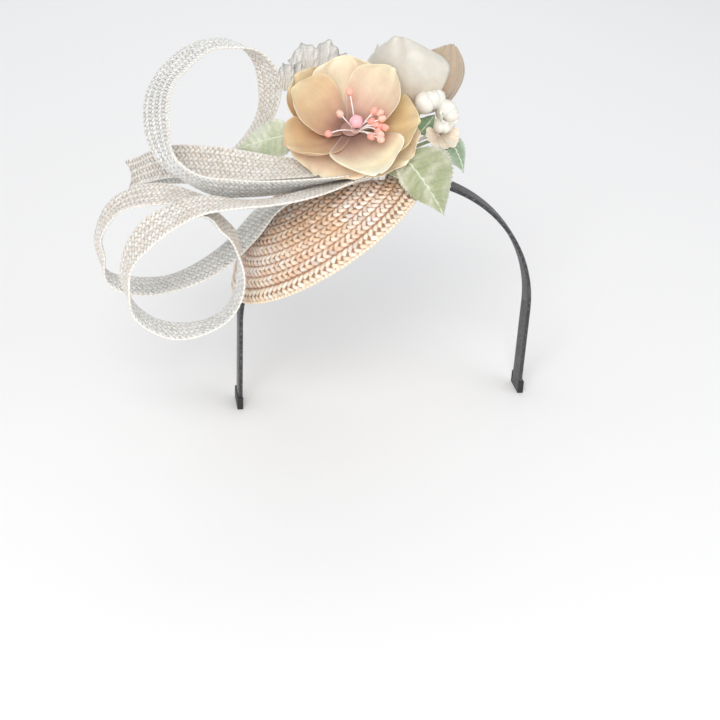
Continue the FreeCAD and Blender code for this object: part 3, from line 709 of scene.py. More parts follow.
def dome_rows(rings, ramp, row_half, rise, patches=True):
    """The grains of several rings."""
    starts, polars, slants = (np.concatenate(values) for values in zip(*rings))
    tones = straw_tones(len(starts), ramp, spread=0.05, fleck=0.08, dark=0.8)
    if patches:
        way = on_dome(polars, starts, np.zeros(len(starts)))
        swell = np.sin(way @ (0.11, 0.05, 0.03)) * np.sin(way @ (-0.03, 0.09, 0.08) + 1.3)
        tones = tones * mix((1.0, 0.90, 0.80), (1.04, 1.05, 1.10), smoothstep(-0.5, 0.6, swell))
    around = SPHERE_R * np.sin(polars)

    def place(s, t, h, which):
        ring = around[which]
        beside_seam = np.clip((t * np.sign(slants[which]) + row_half / 2) / row_half, 0, 1)
        return on_dome(polars[which] + t / SPHERE_R, starts[which] + s / ring,
                       h - ROW_SINK * beside_seam ** 2)

    none = np.zeros(len(starts))
    return grains(place, none, none, slants, row_half, np.clip(tones, 0, 1), BASE_GAP_SHADE,
                  rise=rise, seam=0.8, step=BRAID_STEP)


def base_parts():
    """Rows from the crown's middle out to the edge braid; each starts a little further round."""
    rows = round(EDGE_POLAR * SPHERE_R / ROW_PITCH)
    pitch = EDGE_POLAR / rows
    rings = []
    for row in range(rows):
        for half in (-1, 1):
            at = pitch * (row + 0.5 + half / 4)
            around = SPHERE_R * math.sin(at)
            count = max(5, round(2 * math.pi * around / BRAID_STEP))
            turns = (np.arange(count) + 0.4 * half) * 2 * math.pi / count + 0.7 * row
            rings.append(grain_ring(turns, at, half))
    return [dome_backing(0, EDGE_POLAR, -0.35), dome_rows(rings, PEACH, pitch * SPHERE_R / 2, 0.55)]


def edge_parts():
    """The last row, and a beaded thread along the rim."""
    around = SPHERE_R * math.sin(RIM_POLAR)
    count = int(2 * math.pi * around / BRAID_STEP)
    row = (RIM_POLAR - EDGE_POLAR) / 2
    rings = [grain_ring(np.arange(count) * 2 * math.pi / count + 0.4 * half * BRAID_STEP / around,
                        EDGE_POLAR + row * (1 + half * 0.5), half) for half in (-1, 1)]
    parts = [dome_backing(EDGE_POLAR, RIM_POLAR, -0.25),
             dome_rows(rings, EDGE_PEACH, EDGE_ROW / 2 * 1.08, 0.60, patches=False)]
    turn = turned(EDGE_STEPS)
    rim = on_dome(np.full_like(turn, RIM_POLAR - 0.004), turn, np.full_like(turn, -0.75))
    ripple = np.sin(turn * EDGE_BEADS)
    # Painted shade: the rim thread darkens where it narrows between beads.
    tone = np.repeat(mix((0.80, 0.60, 0.42), (0.96, 0.86, 0.70), 0.5 + 0.5 * ripple), 8, axis=0)
    parts.append(tube_part(rim, 0.78 + 0.10 * ripple, tone, sides=8, closed=True))
    return parts


piece("base_straw_braid", base_parts(), "straw")
piece("base_edge_braid", edge_parts(), "straw_edge", look="straw")

# ---- the lining: a disc of cloth eased into the dome, with small gathers towards its hem ----
LINING_THICK = 0.3
LINING_MID = -STRAW_THICK - BUCKRAM_THICK - 0.22
GATHERS = 46


def lining_parts():
    polar, turn = lattice(np.linspace(0.004, RIM_POLAR - 0.010, 90),
                              np.linspace(0, 2 * math.pi, 553))
    outward = polar / RIM_POLAR
    eased = smoothstep(0.30, 0.86, outward) * (1 - 0.75 * smoothstep(0.90, 0.97, outward))
    fold = 0.5 + 0.5 * np.sin(GATHERS * turn + 1.6 * np.sin(3 * turn) + 0.8 * np.sin(9 * polar))
    slack = 0.10 * (1 + np.sin(3 * turn + 4 * polar)) * smoothstep(0.05, 0.4, outward)
    h = LINING_MID - 0.34 * eased * fold - slack * (1 - smoothstep(0.85, 0.97, outward))
    return [sheet_part(on_dome(polar, turn, h), LINING_THICK, (0.74, 0.62, 0.50))]


lining = piece("base_lining", lining_parts(), "lining")


# ---- felt pads and the felt disc under the flowers ----
def felted(name, voxel):
    """A felt piece over a CAD node's shape: rounded corners and a matted, uneven surface."""
    mesh = NODES[name].data.copy()
    mesh.materials.clear()
    mesh.materials.append(MATERIALS["felt"])
    pad = added(name + "_felt", mesh)
    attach(pad, "crown")
    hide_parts(name)
    pad.modifiers.new("closed", "WELD").merge_threshold = 0.00001
    matted = pad.modifiers.new("matted", "REMESH")
    matted.mode = "VOXEL"
    matted.voxel_size = voxel
    matted.use_smooth_shade = True
    softened = pad.modifiers.new("softened", "SMOOTH")
    softened.factor = 0.6
    softened.iterations = 5
    fibres = bpy.data.textures.new(name + "_fibres", "CLOUDS")
    fibres.noise_scale = 0.0011
    fuzz = pad.modifiers.new("fuzz", "DISPLACE")
    fuzz.texture = fibres
    fuzz.texture_coords = "LOCAL"
    fuzz.strength = 0.00028
    fuzz.mid_level = 0.6
    return pad


for name in ("base_seat_pad_crown", "base_seat_pad_side"):
    felted(name, 0.00040)
felted("flower_mount_disc", 0.00045)

# ---- the band's fabric cover, in two halves, each running from the crown down one arm ----
BAND_R, BAND_HALF_THICK, BAND_HALF_WIDE = 76.2, 1.2, 6.0
BAND_FLOOR = -50.0
COVER_SIDES = 36
RIB_PITCH = 1.4


def band_cover(side):
    """Half of the cover: a rounded flat tube from the crown to the end of one arm."""
    turn = turned(COVER_SIDES)
    c, s = np.cos(turn), np.sin(turn)
    thick = BAND_HALF_THICK * np.sign(c) * np.abs(c) ** 0.35
    wide = BAND_HALF_WIDE * np.sign(s) * np.abs(s) ** 0.55
    arc = np.linspace(0, math.pi / 2, 170)
    leg = np.linspace(0, -BAND_FLOOR, 80)[1:]
    along = np.concatenate([arc * BAND_R, math.pi / 2 * BAND_R + leg])
    out = np.concatenate([np.stack([np.sin(arc), 0 * arc, np.cos(arc)], -1),
                          np.tile((1.0, 0, 0), (len(leg), 1))])
    middle = np.concatenate([out[:len(arc)] * BAND_R,
                             np.stack([np.full_like(leg, BAND_R), 0 * leg, -leg], -1)])
    rib = 1 + 0.012 * np.sin(along[:, None] * 2 * math.pi / RIB_PITCH + 2 * s)
    grid = (middle[:, None] + out[:, None] * (thick * rib)[..., None]
            + np.array([0, 1, 0]) * (wide * np.ones_like(rib))[..., None])
    if side < 0:
        grid = grid * np.array([-1, 1, 1])
    n = len(along)
    points = np.concatenate([grid.reshape(-1, 3), grid[:1].mean(1), grid[-1:].mean(1)])
    faces = np.concatenate([grid_faces(n, COVER_SIDES, close_m=True),
                            end_caps(n, COVER_SIDES, n * COVER_SIDES)])
    if side < 0:
        faces = faces[:, ::-1]
    sparkle = rng.random((n, COVER_SIDES)) ** 9
    edge = np.abs(s)[None] ** 8 * 0.5
    glint = np.clip(sparkle * 0.8 + edge * sparkle, 0, 1)
    tone = mix((0.014, 0.014, 0.016), (0.12, 0.12, 0.13), glint)
    tone = np.concatenate([tone.reshape(-1, 3), np.tile((0.01, 0.01, 0.012), (2, 1))])
    return [(points, faces, tone, blank_uv(points))]


for side, word in ((1, "left"), (-1, "right")):
    cover = piece("band_cover_fabric_" + word, band_cover(side), "sparkle_fabric", look="band",
                  body=None, nodes=["band_cover_crown", "band_cover_" + word])
    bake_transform(cover)

# ---- petals ----
PETAL_ROWS, PETAL_COLUMNS, PETAL_STEPS = 40, 37, 240
PETAL_THICK = 0.32
PETAL_WIDEST = 0.60          # how far out the widest place is
PETAL_TIP = 0.94             # how much the outline closes at the tip


def axis_frame(axis):
    axis = unit(axis)
    first = unit(np.array([1.0, 0, 0]) - axis * axis[0])
    return axis, first, np.cross(axis, first)


def petal_grid(base, axis, clock, length, half_wide, lean, cup, start=2.4, drop=0.0, ruffle=0.0,
               pleat=0.0, phase=0.0):
    """A petal's middle surface. lean is its slope at the base and at the rim, in degrees from the
    flower's plane; cup is how far its sides wrap up; pleat folds it along its length, and ruffle
    at the rim."""
    axis, first, second = axis_frame(axis)
    out = between(first, second, math.radians(clock))
    side = np.cross(axis, out)
    t, s = lattice(np.linspace(0, 1, PETAL_ROWS), np.linspace(-1, 1, PETAL_COLUMNS))
    reach = t * (1 - 0.14 * np.abs(s) ** 2.4 * t)
    steps = np.linspace(0, 1, PETAL_STEPS + 1)
    slope = np.radians(lean[0] + (lean[1] - lean[0]) * steps)
    radial = start + length * np.concatenate([[0], np.cumsum(np.cos(slope))[:-1]]) / PETAL_STEPS
    height = -drop + length * np.concatenate([[0], np.cumsum(np.sin(slope))[:-1]]) / PETAL_STEPS
    r, z, angle = (np.interp(reach, steps, x) for x in (radial, height, slope))
    normal = -np.sin(angle)[..., None] * out + np.cos(angle)[..., None] * axis
    below = 0.24 + 0.76 * np.sin(math.pi / 2 * np.minimum(1, reach / PETAL_WIDEST))
    beyond = np.maximum(0, (reach - PETAL_WIDEST) / (1 - PETAL_WIDEST))
    above = np.sqrt(np.clip(1 - PETAL_TIP * beyond ** 2.4, 0.02, 1))
    wide = half_wide * np.where(reach < PETAL_WIDEST, below, above)
    wrap = cup * smoothstep(-0.2, 0.55, reach) + 1e-3
    lift = wide * (1 - np.cos(wrap * s)) / wrap
    ripple = np.sin(2.6 * math.pi * s + phase) + 0.5 * np.sin(4.3 * math.pi * s + 2 * phase)
    wave = ruffle * reach ** 2 * ripple
    fold = pleat * np.sin(6.5 * math.pi * s + phase) * reach * (1.1 - 0.5 * reach)
    crease = (-0.5 * np.exp(-(s / 0.10) ** 2) * np.sin(math.pi * reach)
              * (0.5 + 0.5 * math.cos(phase)))
    points = (np.asarray(base, float) + out * r[..., None] + axis * z[..., None]
              + side * (wide * np.sin(wrap * s) / wrap)[..., None]
              + normal * (lift + wave + fold + crease)[..., None])
    return points, t, s


def petal_tone(t, s, colours, rim_line=None, phase=0.0):
    """Throat, body and rim colours, with soft streaks that run out from the throat. The dark
    throat and inner colours are partly the silk's own deeper tone and partly painted shade deep
    in the flower; the light line at the very edge is a painted highlight.
    """
    throat, inner, body, rim = colours
    tone = mix(throat, inner, smoothstep(0.08, 0.38, t + 0.05 * np.abs(s)))
    tone = mix(tone, body, smoothstep(0.26, 0.68, t))
    tone = mix(tone, rim, smoothstep(0.72, 0.97, np.maximum(t, np.abs(s) * 0.9 * t ** 0.3)))
    # Painted highlight: a light line along the petal's very edge.
    edge_highlight = smoothstep(0.95, 1.0, np.maximum(t, np.abs(s)))
    tone = mix(tone, np.minimum(1, np.array(rim) * 1.08), 0.7 * edge_highlight)
    streak = np.sin(17 * s + 5 * phase) * np.sin(29 * s + phase) * (1 - 0.7 * t)
    tone = tone * (1 + 0.05 * streak[..., None])
    if rim_line is not None:
        tone = mix(tone, rim_line, smoothstep(0.955, 0.995, t) * 0.8)
    return np.clip(tone, 0, 1)


def petal(name, base, axis, colours, silk, rim_line=None, **shape):
    grid, t, s = petal_grid(base, axis, **shape)
    tone = petal_tone(t, s, colours, rim_line, shape.get("phase", 0.0))
    back = np.clip(tone * 0.5 + np.array(colours[2]) * 0.48, 0, 1)
    thin = PETAL_THICK * (1 - 0.35 * smoothstep(0.8, 1, t))
    piece(name, [sheet_part(grid, thin, tone, back)], silk)


PEACH_THROAT = np.array([-23.7, -3.0, 102.3])
PEACH_AXIS = unit((-0.10, -0.46, 0.88))
# Each set runs throat, inner, body, rim. The dark throat and inner colours are partly the silk's
# own deeper tone and partly painted shade deep in the flower; the last set, on the front cup, is
# darkest inside as painted shade in its hollow.
THROAT = (0.30, 0.15, 0.12)
PEACH_WARM = (THROAT, (0.60, 0.36, 0.23), (0.71, 0.51, 0.30), (0.79, 0.65, 0.42))
PEACH_AMBER = ((0.33, 0.16, 0.11), (0.71, 0.46, 0.27), (0.79, 0.58, 0.31), (0.82, 0.67, 0.41))
PEACH_PALE = ((0.42, 0.25, 0.19), (0.77, 0.53, 0.39), (0.85, 0.69, 0.49), (0.89, 0.77, 0.57))
PEACH_CORAL = ((0.30, 0.16, 0.13), (0.66, 0.39, 0.29), (0.79, 0.64, 0.47), (0.83, 0.74, 0.55))
PEACH_PINK = ((0.57, 0.37, 0.30), (0.92, 0.68, 0.54), (0.98, 0.77, 0.61), (0.98, 0.82, 0.62))
PEACH_CREAM = ((0.25, 0.14, 0.11), (0.56, 0.38, 0.28), (0.99, 0.89, 0.64), (1.00, 1.00, 0.79))
CORAL_LINE = (0.90, 0.50, 0.32)
PEACH_PETALS = {
    "outer_1": (PEACH_AMBER, None, dict(
        clock=-8, length=34, half_wide=19, lean=(2, 42), cup=0.45,
        drop=3.6, ruffle=0.5, phase=0.4)),
    "outer_2": (PEACH_PALE, None, dict(
        clock=88, length=37, half_wide=18, lean=(12, 56), cup=0.55,
        drop=2.5, ruffle=0.6, phase=1.9)),
    "outer_3": (PEACH_WARM, None, dict(
        clock=129, length=38, half_wide=20, lean=(4, 52), cup=0.7,
        drop=3.4, ruffle=0.6, phase=3.1)),
    "outer_4": (PEACH_PINK, None, dict(
        clock=236, length=32, half_wide=20, lean=(-1, 16), cup=0.25,
        drop=1.8, ruffle=0.7, phase=0.9)),
    "outer_5": (PEACH_PALE, None, dict(
        clock=318, length=34, half_wide=20, lean=(-7, 30), cup=0.3,
        drop=3.8, ruffle=0.5, phase=2.4)),
    "inner_1": (PEACH_CORAL, None, dict(
        clock=40, length=36, half_wide=17, lean=(8, 68), cup=0.95,
        ruffle=0.5, phase=1.2)),
    "inner_2": (PEACH_WARM, None, dict(
        clock=150, length=34, half_wide=18.5, lean=(2, 62), cup=0.95,
        ruffle=0.4, phase=2.8)),
    "inner_3": (PEACH_WARM, CORAL_LINE, dict(
        clock=203, length=36, half_wide=16, lean=(-8, 42), cup=0.95,
        drop=0.4, ruffle=0.5, phase=0.2)),
    "inner_4": (PEACH_CREAM, None, dict(
        clock=284, length=36, half_wide=21.5, lean=(-10, 38), cup=1.0,
        ruffle=0.5, phase=1.5)),
}
for name, (colours, rim_line, shape) in PEACH_PETALS.items():
    petal("peach_petal_" + name, PEACH_THROAT, PEACH_AXIS, colours, "peach_silk", rim_line, **shape)

CREAM_BASE = np.array([12.0, 14.0, 103.5])
CREAM_AXIS = unit((0.12, 0.42, 0.90))
# The second set, on the two pleated petals, is a pinkish brown that is partly their own tone and
# partly painted shade, much darker than the cream petals beside them.
PEARL = ((0.40, 0.24, 0.18), (0.56, 0.44, 0.33), (0.64, 0.60, 0.53), (0.69, 0.66, 0.59))
PEARL_ROSE_AND_SHADE = ((0.26, 0.13, 0.09), (0.36, 0.22, 0.14), (0.48, 0.37, 0.26), (0.55, 0.46, 0.34))
CREAM_PETALS = {
    "cream_petal_1": (PEARL_ROSE_AND_SHADE, dict(clock=20, length=42, half_wide=19, lean=(14, 116), cup=1.2,
                                       pleat=1.2, phase=0.3)),
    "cream_petal_2": (PEARL, dict(clock=92, length=38, half_wide=19, lean=(20, 112), cup=1.2,
                                  pleat=0.4, phase=1.1)),
    "cream_petal_3": (PEARL, dict(clock=172, length=43, half_wide=22, lean=(8, 112), cup=1.0,
                                  pleat=0.3, phase=2.0)),
    "cream_petal_4": (PEARL, dict(clock=232, length=46, half_wide=27, lean=(6, 110), cup=1.05,
                                  start=3.4, pleat=0.15, ruffle=0.6, phase=0.7)),
    "cream_petal_5": (PEARL_ROSE_AND_SHADE, dict(clock=306, length=43, half_wide=23, lean=(12, 112), cup=0.95,
                                       pleat=1.1, phase=2.6)),
}
for name, (colours, shape) in CREAM_PETALS.items():
    petal(name, CREAM_BASE, CREAM_AXIS, colours, "cream_silk", **shape)


# ---- folded buds ----
def creased(count, twist, depth, start=0.0):
    """A bud's wrapped petals: each overlaps the next along a spiral step."""
    def shape(polar, turn):
        place = (count * (turn + start + twist * polar) / (2 * math.pi)) % 1.0
        return (1 + depth * (place - 0.5) * np.sin(polar) ** 0.7
                - 0.6 * depth * np.exp(-(place / 0.07) ** 2))
    return shape


# Painted light: a bud runs from its shaded colour underneath to its lit colour on the side that
# faces up and to the front.
def bud_lit_tone(points, centre, low, high):
    height = (points - np.asarray(centre, float)) @ np.array([0.3, -0.4, 0.86])
    span = np.abs(height).max()
    return mix(low, high, smoothstep(-0.9, 0.5, height / span))


def bud_part(centre, axis, length, radius, low, high, shape):
    points, faces, _, uv = ball_part(centre, axis, length, radius, low, shape, rings=34, sides=72)
    return points, faces, bud_lit_tone(points, centre, low, high), uv


# Painted shade and painted light: the satin's colours on a bud's underside and on its lit top.
SATIN_SHADED, SATIN_LIT = (0.56, 0.48, 0.37), (0.82, 0.79, 0.72)
SATIN = ((0.50, 0.40, 0.29), (0.74, 0.66, 0.54), (0.86, 0.83, 0.76), (0.92, 0.90, 0.86))


def folded_bud(centre, axis, size, count, start_clock):
    """A satin bud: rounded folds of cloth gathered round a core, with one open petal behind."""
    centre = np.array(centre, float)
    axis, first, second = axis_frame(axis)
    parts = [bud_part(centre + axis * size * 0.15, axis, size * 0.72, size * 0.62,
                      SATIN_SHADED, SATIN_LIT, creased(2, 0.6, 0.10, start_clock))]
    for k in range(count):
        turn = start_clock + 2 * math.pi * k / count
        out = between(first, second, turn)
        grow = 1 + 0.15 * math.sin(2.1 * k + start_clock)
        fold = bud_part(centre + out * size * 0.36 - axis * size * 0.10,
                        unit(axis * 0.8 + out * 0.5), size * 0.82 * grow, size * 0.66 * grow,
                        SATIN_SHADED, SATIN_LIT,
                        lambda polar, turn, k=k: 1 + 0.07 * np.sin(2 * turn + 2.5 * polar + k)
                        * np.sin(polar) - 0.05 * np.exp(-((np.cos(turn + k) - 0.2) / 0.16) ** 2)
                        * np.sin(polar))
        # Painted shade: each fold darkens towards the core, where the folds crowd together.
        depth = np.linalg.norm(fold[0] - centre, axis=1) / size
        tone = fold[2] * (0.72 + 0.28 * smoothstep(0.45, 0.95, depth))[:, None]
        parts.append((fold[0], fold[1], tone, fold[3]))
    grid, t, s = petal_grid(centre - axis * size * 0.7, axis, start_clock * 57 + 70, size * 1.5,
                            size * 0.85, (20, 80), 0.8, start=0.6, ruffle=0.3, phase=start_clock)
    parts.append(sheet_part(grid, 0.32, petal_tone(t, s, SATIN, phase=start_clock)))
    return parts


piece("bud_white_upper",
      folded_bud((15.4, 0.2, 115.4), (0.3, -0.7, 0.6), 7.4, 2, 0.5), "white_satin")
piece("bud_white_lower",
      folded_bud((25.6, 0.4, 108.2), (0.45, -0.8, 0.35), 6.8, 2, 2.2)
      + folded_bud((23.2, -1.6, 102.8), (0.3, -0.9, -0.3), 5.0, 2, 3.1), "white_satin")
# The cream bud's two colours are likewise painted shade underneath and painted light on top.
piece("cream_inner_bud", [
    bud_part(CREAM_BASE + CREAM_AXIS * 13, CREAM_AXIS, 9.0, 7.6,
             (0.80, 0.66, 0.55), (0.93, 0.90, 0.84), creased(5, 0.8, 0.22))], "cream_silk")

SCRAP = ((0.50, 0.38, 0.28), (0.64, 0.52, 0.40), (0.78, 0.67, 0.54), (0.86, 0.78, 0.66))
scraps = []
for clock, length, half_wide, phase in ((-15, 9.5, 5.5, 0.2), (70, 7.5, 5.0, 1.4),
                                        (200, 8.0, 5.0, 2.2), (290, 7.5, 4.5, 3.0)):
    grid, t, s = petal_grid((21.0, -2.5, 98.8), (0.25, -0.75, 0.6), clock, length, half_wide,
                            (0, 24), 0.4, start=0.8, ruffle=0.5, pleat=0.2, phase=phase)
    scraps.append(sheet_part(grid, 0.4, petal_tone(t, s, SCRAP, phase=phase)))
piece("bud_base_petals", scraps, "peach_brown_silk", look="cream_silk")

# ---- stamens ----
# Clock angle about the flower's axis, lean from the axis, length from the throat.
STAMENS = [(97, 40, 16.5), (150, 40, 9.5), (208, 62, 16), (20, 42, 11), (10, 52, 12.5),
           (350, 40, 8), (338, 52, 9.5), (350, 50, 13), (327, 55, 15.5), (318, 57, 12.5),
           (310, 58, 15.5), (296, 56, 12.5), (332, 56, 12.5), (302, 60, 18)]
CORAL = [(0.93, 0.45, 0.36), (0.95, 0.56, 0.46), (0.90, 0.40, 0.33)]
throat_centre = PEACH_THROAT + np.array([2.6, -1.5, 0.0]) + PEACH_AXIS * 1.2
_, flower_first, flower_second = axis_frame(PEACH_AXIS)
threads, beads = [], []
for k, (clock, lean, length) in enumerate(STAMENS):
    out = between(flower_first, flower_second, math.radians(clock))
    tilt = math.radians(lean)
    way = out * math.sin(tilt) + PEACH_AXIS * math.cos(tilt)
    foot = throat_centre + out * 1.6
    head = throat_centre + out * 2.2 + way * length
    u = np.linspace(0, 1, 26)[:, None]
    bow = (PEACH_AXIS * (1.8 + 0.5 * math.sin(2.3 * k))
           + np.cross(PEACH_AXIS, out) * 1.2 * math.sin(1.7 * k))
    path = foot * (1 - u) + head * u + bow * np.sin(math.pi * u)
    threads.append(tube_part(path, 0.30, (0.97, 0.94, 0.92), sides=8))
    colour = np.array(CORAL[k % 3])
    made = ball_part(head, way, 2.15, 1.75, colour,
                     lambda polar, turn, k=k: 1 + 0.05 * np.sin(3 * turn + k) * np.sin(polar) ** 2
                     - 0.05 * np.cos(5 * polar + k), rings=18, sides=24)
    shade = 0.88 + 0.16 * smoothstep(-1.5, 1.5, (made[0] - head) @ np.array([0, -0.5, 0.85]))
    beads.append((made[0], made[1], np.clip(colour * shade[:, None], 0, 1), made[3]))
# Painted shade: the thread collar round the throat is a dark mauve, for the shade deep in the
# flower.
collar = turned(60)
for ring in range(3):
    radius = 2.3 - 0.5 * ring
    circle = (throat_centre + PEACH_AXIS * (0.1 + 0.45 * ring)
              + flower_first * (radius * np.cos(collar))[:, None]
              + flower_second * (radius * np.sin(collar))[:, None])
    threads.append(tube_part(circle, 0.34, (0.70, 0.48, 0.44), sides=7, closed=True))
piece("peach_stamen_threads", threads, "thread")
piece("peach_stamen_heads", beads, "stamen_head", look="stamen")


def pistil_folds(polar, turn):
    return 1 + 0.05 * np.cos(5 * turn) * np.sin(polar) ** 2 - 0.08 * np.exp(-(polar / 0.3) ** 2)


pistil = ball_part(throat_centre + PEACH_AXIS * 5.7, PEACH_AXIS, 3.2, 3.2, (0.96, 0.52, 0.58),
                   pistil_folds, rings=30, sides=48)
# Painted shade: a dark mauve disc fills the throat under the pistil.
throat_shade_pad = ball_part(PEACH_THROAT + PEACH_AXIS * 0.9, PEACH_AXIS, 0.9, 4.6, (0.42, 0.24, 0.21))
piece("peach_pistil", [pistil, throat_shade_pad], "pistil", look="stamen")

# ---- leaves ----
LEAVES = {
    "leaf_hanging": ((-1.0, -19.0, 95.0), (17.0, -37.5, 71.0), (0.25, -0.9, 0.3), 28.0, 3.5),
    "leaf_under_flower": ((-8.5, -17.5, 88.5), (9.5, -20.5, 86.0), (0.1, -0.6, 0.8), 9.0, 1.0),
    "leaf_dark_side": ((25.0, 0.0, 97.5), (33.0, -9.5, 81.0), (0.5, -0.85, 0.2), 14.0, 1.8),
    "leaf_small_dark": ((12.0, 2.0, 98.0), (19.5, 3.5, 106.5), (0.1, -0.9, 0.4), 9.0, 0.8),
    "leaf_left_pale": ((-50.5, 4.5, 98.0), (-76.0, 12.5, 88.0), (-0.2, -0.8, 0.6), 19.0, 2.0),
}
LEAF_TONES = {
    "leaf_hanging": ((0.28, 0.34, 0.15), (0.46, 0.48, 0.31), (0.73, 0.71, 0.63)),
    "leaf_under_flower": ((0.40, 0.50, 0.26), (0.58, 0.66, 0.42), (0.80, 0.84, 0.72)),
    "leaf_dark_side": ((0.18, 0.28, 0.15), (0.32, 0.42, 0.28), (0.66, 0.72, 0.62)),
    "leaf_small_dark": ((0.20, 0.34, 0.18), (0.36, 0.50, 0.32), (0.60, 0.70, 0.56)),
    "leaf_left_pale": ((0.46, 0.54, 0.34), (0.63, 0.68, 0.50), (0.86, 0.87, 0.78)),
}
# How much wider one half of the blade is than the other.
LEAF_LEAN = {"leaf_hanging": -0.38}
TOOTH = 1.7
VEIN_PAIRS = 7
LEAF_ROWS, LEAF_COLUMNS = 150, 49
LEAF_THICK = 0.42
CLOUD_STEP = 3               # points between two places where the blotches are worked out


def leaf_parts(name):
    base, tip, facing, width, arch = LEAVES[name]
    deep, body, frost = LEAF_TONES[name]
    base, tip = np.array(base), np.array(tip)
    along = tip - base
    length = np.linalg.norm(along)
    facing = np.array(facing)
    normal = unit(facing - along * (facing @ along) / length ** 2)
    side = np.cross(unit(along), normal)
    t, s = lattice(np.linspace(0, 1, LEAF_ROWS), np.linspace(-1, 1, LEAF_COLUMNS))
    outline = t ** 0.5 * (1 - t) ** 1.1 / 0.370
    half = width / 2 * np.maximum(0.04, outline) * (1 + LEAF_LEAN.get(name, 0.0) * np.sign(s))
    tooth = (t * length / TOOTH) % 1.0
    edge = np.abs(s) ** 8
    lateral = half * s * (1 + 0.09 * (tooth - 0.4) * edge)
    vein = t * (VEIN_PAIRS + 1) - 0.85 * np.abs(s)
    bulge = np.abs(np.sin(math.pi * vein))
    quilt = 0.045 * width * bulge * (1 - np.abs(s) ** 4) * np.sin(math.pi * t) ** 0.5
    rib = 0.5 * np.exp(-(s * half / 0.55) ** 2) * (1 - 0.6 * t)
    wavy = 0.05 * width * np.sin(2.2 * math.pi * t + 1.5 * np.sign(s)) * s ** 2
    rise = (arch * 4 * t * (1 - t) - 0.10 * width * s ** 2 * np.sin(math.pi * t)
            + quilt + wavy - rib)
    grid = (base + along * t[..., None] + side * lateral[..., None] + normal * rise[..., None])
    line = np.exp(-((vein - np.round(vein)) / 0.10) ** 2) * (0.25 + 0.5 * (1 - np.abs(s)))
    middle = np.exp(-(s * half / 0.5) ** 2)
    cloud = np.array([[1.6 * noise.noise(Vector(p * 0.16)) for p in row]
                      for row in grid[::CLOUD_STEP, ::CLOUD_STEP]])
    cloud = np.kron(cloud, np.ones((CLOUD_STEP, CLOUD_STEP)))[:LEAF_ROWS, :LEAF_COLUMNS]
    tone = mix(deep, body, smoothstep(-0.5, 0.6, cloud + 0.5 * np.abs(s) - 0.1))
    tone = mix(tone, frost, np.clip(0.75 * smoothstep(0.80, 1.0, np.abs(s) + 0.35 * cloud * edge)
                                    + 0.45 * smoothstep(0.25, 0.8, cloud + 0.3 * t), 0, 1))
    # Painted shade: the blade darkens in the valleys between its quilted bulges.
    tone = tone * (0.84 + 0.20 * bulge)[..., None]
    tone = mix(tone, (0.84, 0.90, 0.74), 0.55 * np.clip(line + middle, 0, 1))
    tone = mix(tone, frost, 0.8 * smoothstep(0.955, 1.0, np.abs(s)))
    back = tone * 0.55 + np.array(body) * 0.42
    parts = [sheet_part(grid, LEAF_THICK, np.clip(tone, 0, 1), np.clip(back, 0, 1))]
    spine = grid[:-6, LEAF_COLUMNS // 2] + normal * 0.16
    thick = LEAF_THICK * (1 - 0.75 * np.linspace(0, 1, len(spine)))
    parts.append(tube_part(spine, thick, (0.80, 0.88, 0.70), sides=8))
    return parts


for name in LEAVES:
    piece(name, leaf_parts(name), "leaf_dark" if "dark" in name else "leaf_pale", look="leaf")

# ---- sheer ruffles ----
ORGANZA_LOBES = {
    "organza_ruffle_left": ((-47.5, 27.0, 118.5), (-1.0, -0.1, 0.1), 9.0, 13.0,
                            (0.0125, 0.052), 0.00033),
    "organza_ruffle_back": ((-34.0, 37.0, 123.0), (-1.0, -0.1, 0.0), 15.0, 18.0,
                            (0.017, 0.061), 0.00057),
}
ORGANZA_UP = np.array([0.05, 0.35, 0.93])
for name, (centre, way, half_width, height, cut, cut_area) in ORGANZA_LOBES.items():
    way = unit(way)
    depth = np.cross(ORGANZA_UP, way)
    t, s = lattice(np.linspace(0, 1, 40), np.linspace(-1, 1, 150))
    wave = 2.2 * np.sin(3 * math.pi * s) * t + 1.2 * np.sin(6.3 * math.pi * s + 2) * t ** 2
    crush = 0.55 * np.sin(19 * s + 9 * t) * np.sin(11 * t + 5 * s) + 0.25 * np.sin(41 * s) * t
    drop = height * (0.30 * s ** 2 + 0.10 * np.sin(7 * s + 1) + 0.03 * np.sin(21 * s)) * t
    grid = (np.array(centre) + way * (half_width * s * (0.5 + 0.5 * t ** 0.7))[..., None]
            + depth * (wave + crush)[..., None]
            + ORGANZA_UP * (height * (t - 0.5) - drop)[..., None])
    tone = mix((0.84, 0.78, 0.68), (0.93, 0.92, 0.88), smoothstep(0.1, 0.9, t))
    tone = mix(tone, (0.70, 0.70, 0.68), 0.5 * np.abs(np.sin(3 * math.pi * s)) ** 6)
    cloth = piece(name, [sheet_part(grid, 0.12, tone)], "organza")
    edges = [tube_part(grid[-1], 0.26, (0.50, 0.50, 0.48), sides=6),
             tube_part(grid[-4], 0.14, (0.72, 0.70, 0.66), sides=6)]
    hem = piece(name + "_hem", edges, "organza", look="thread", nodes=())

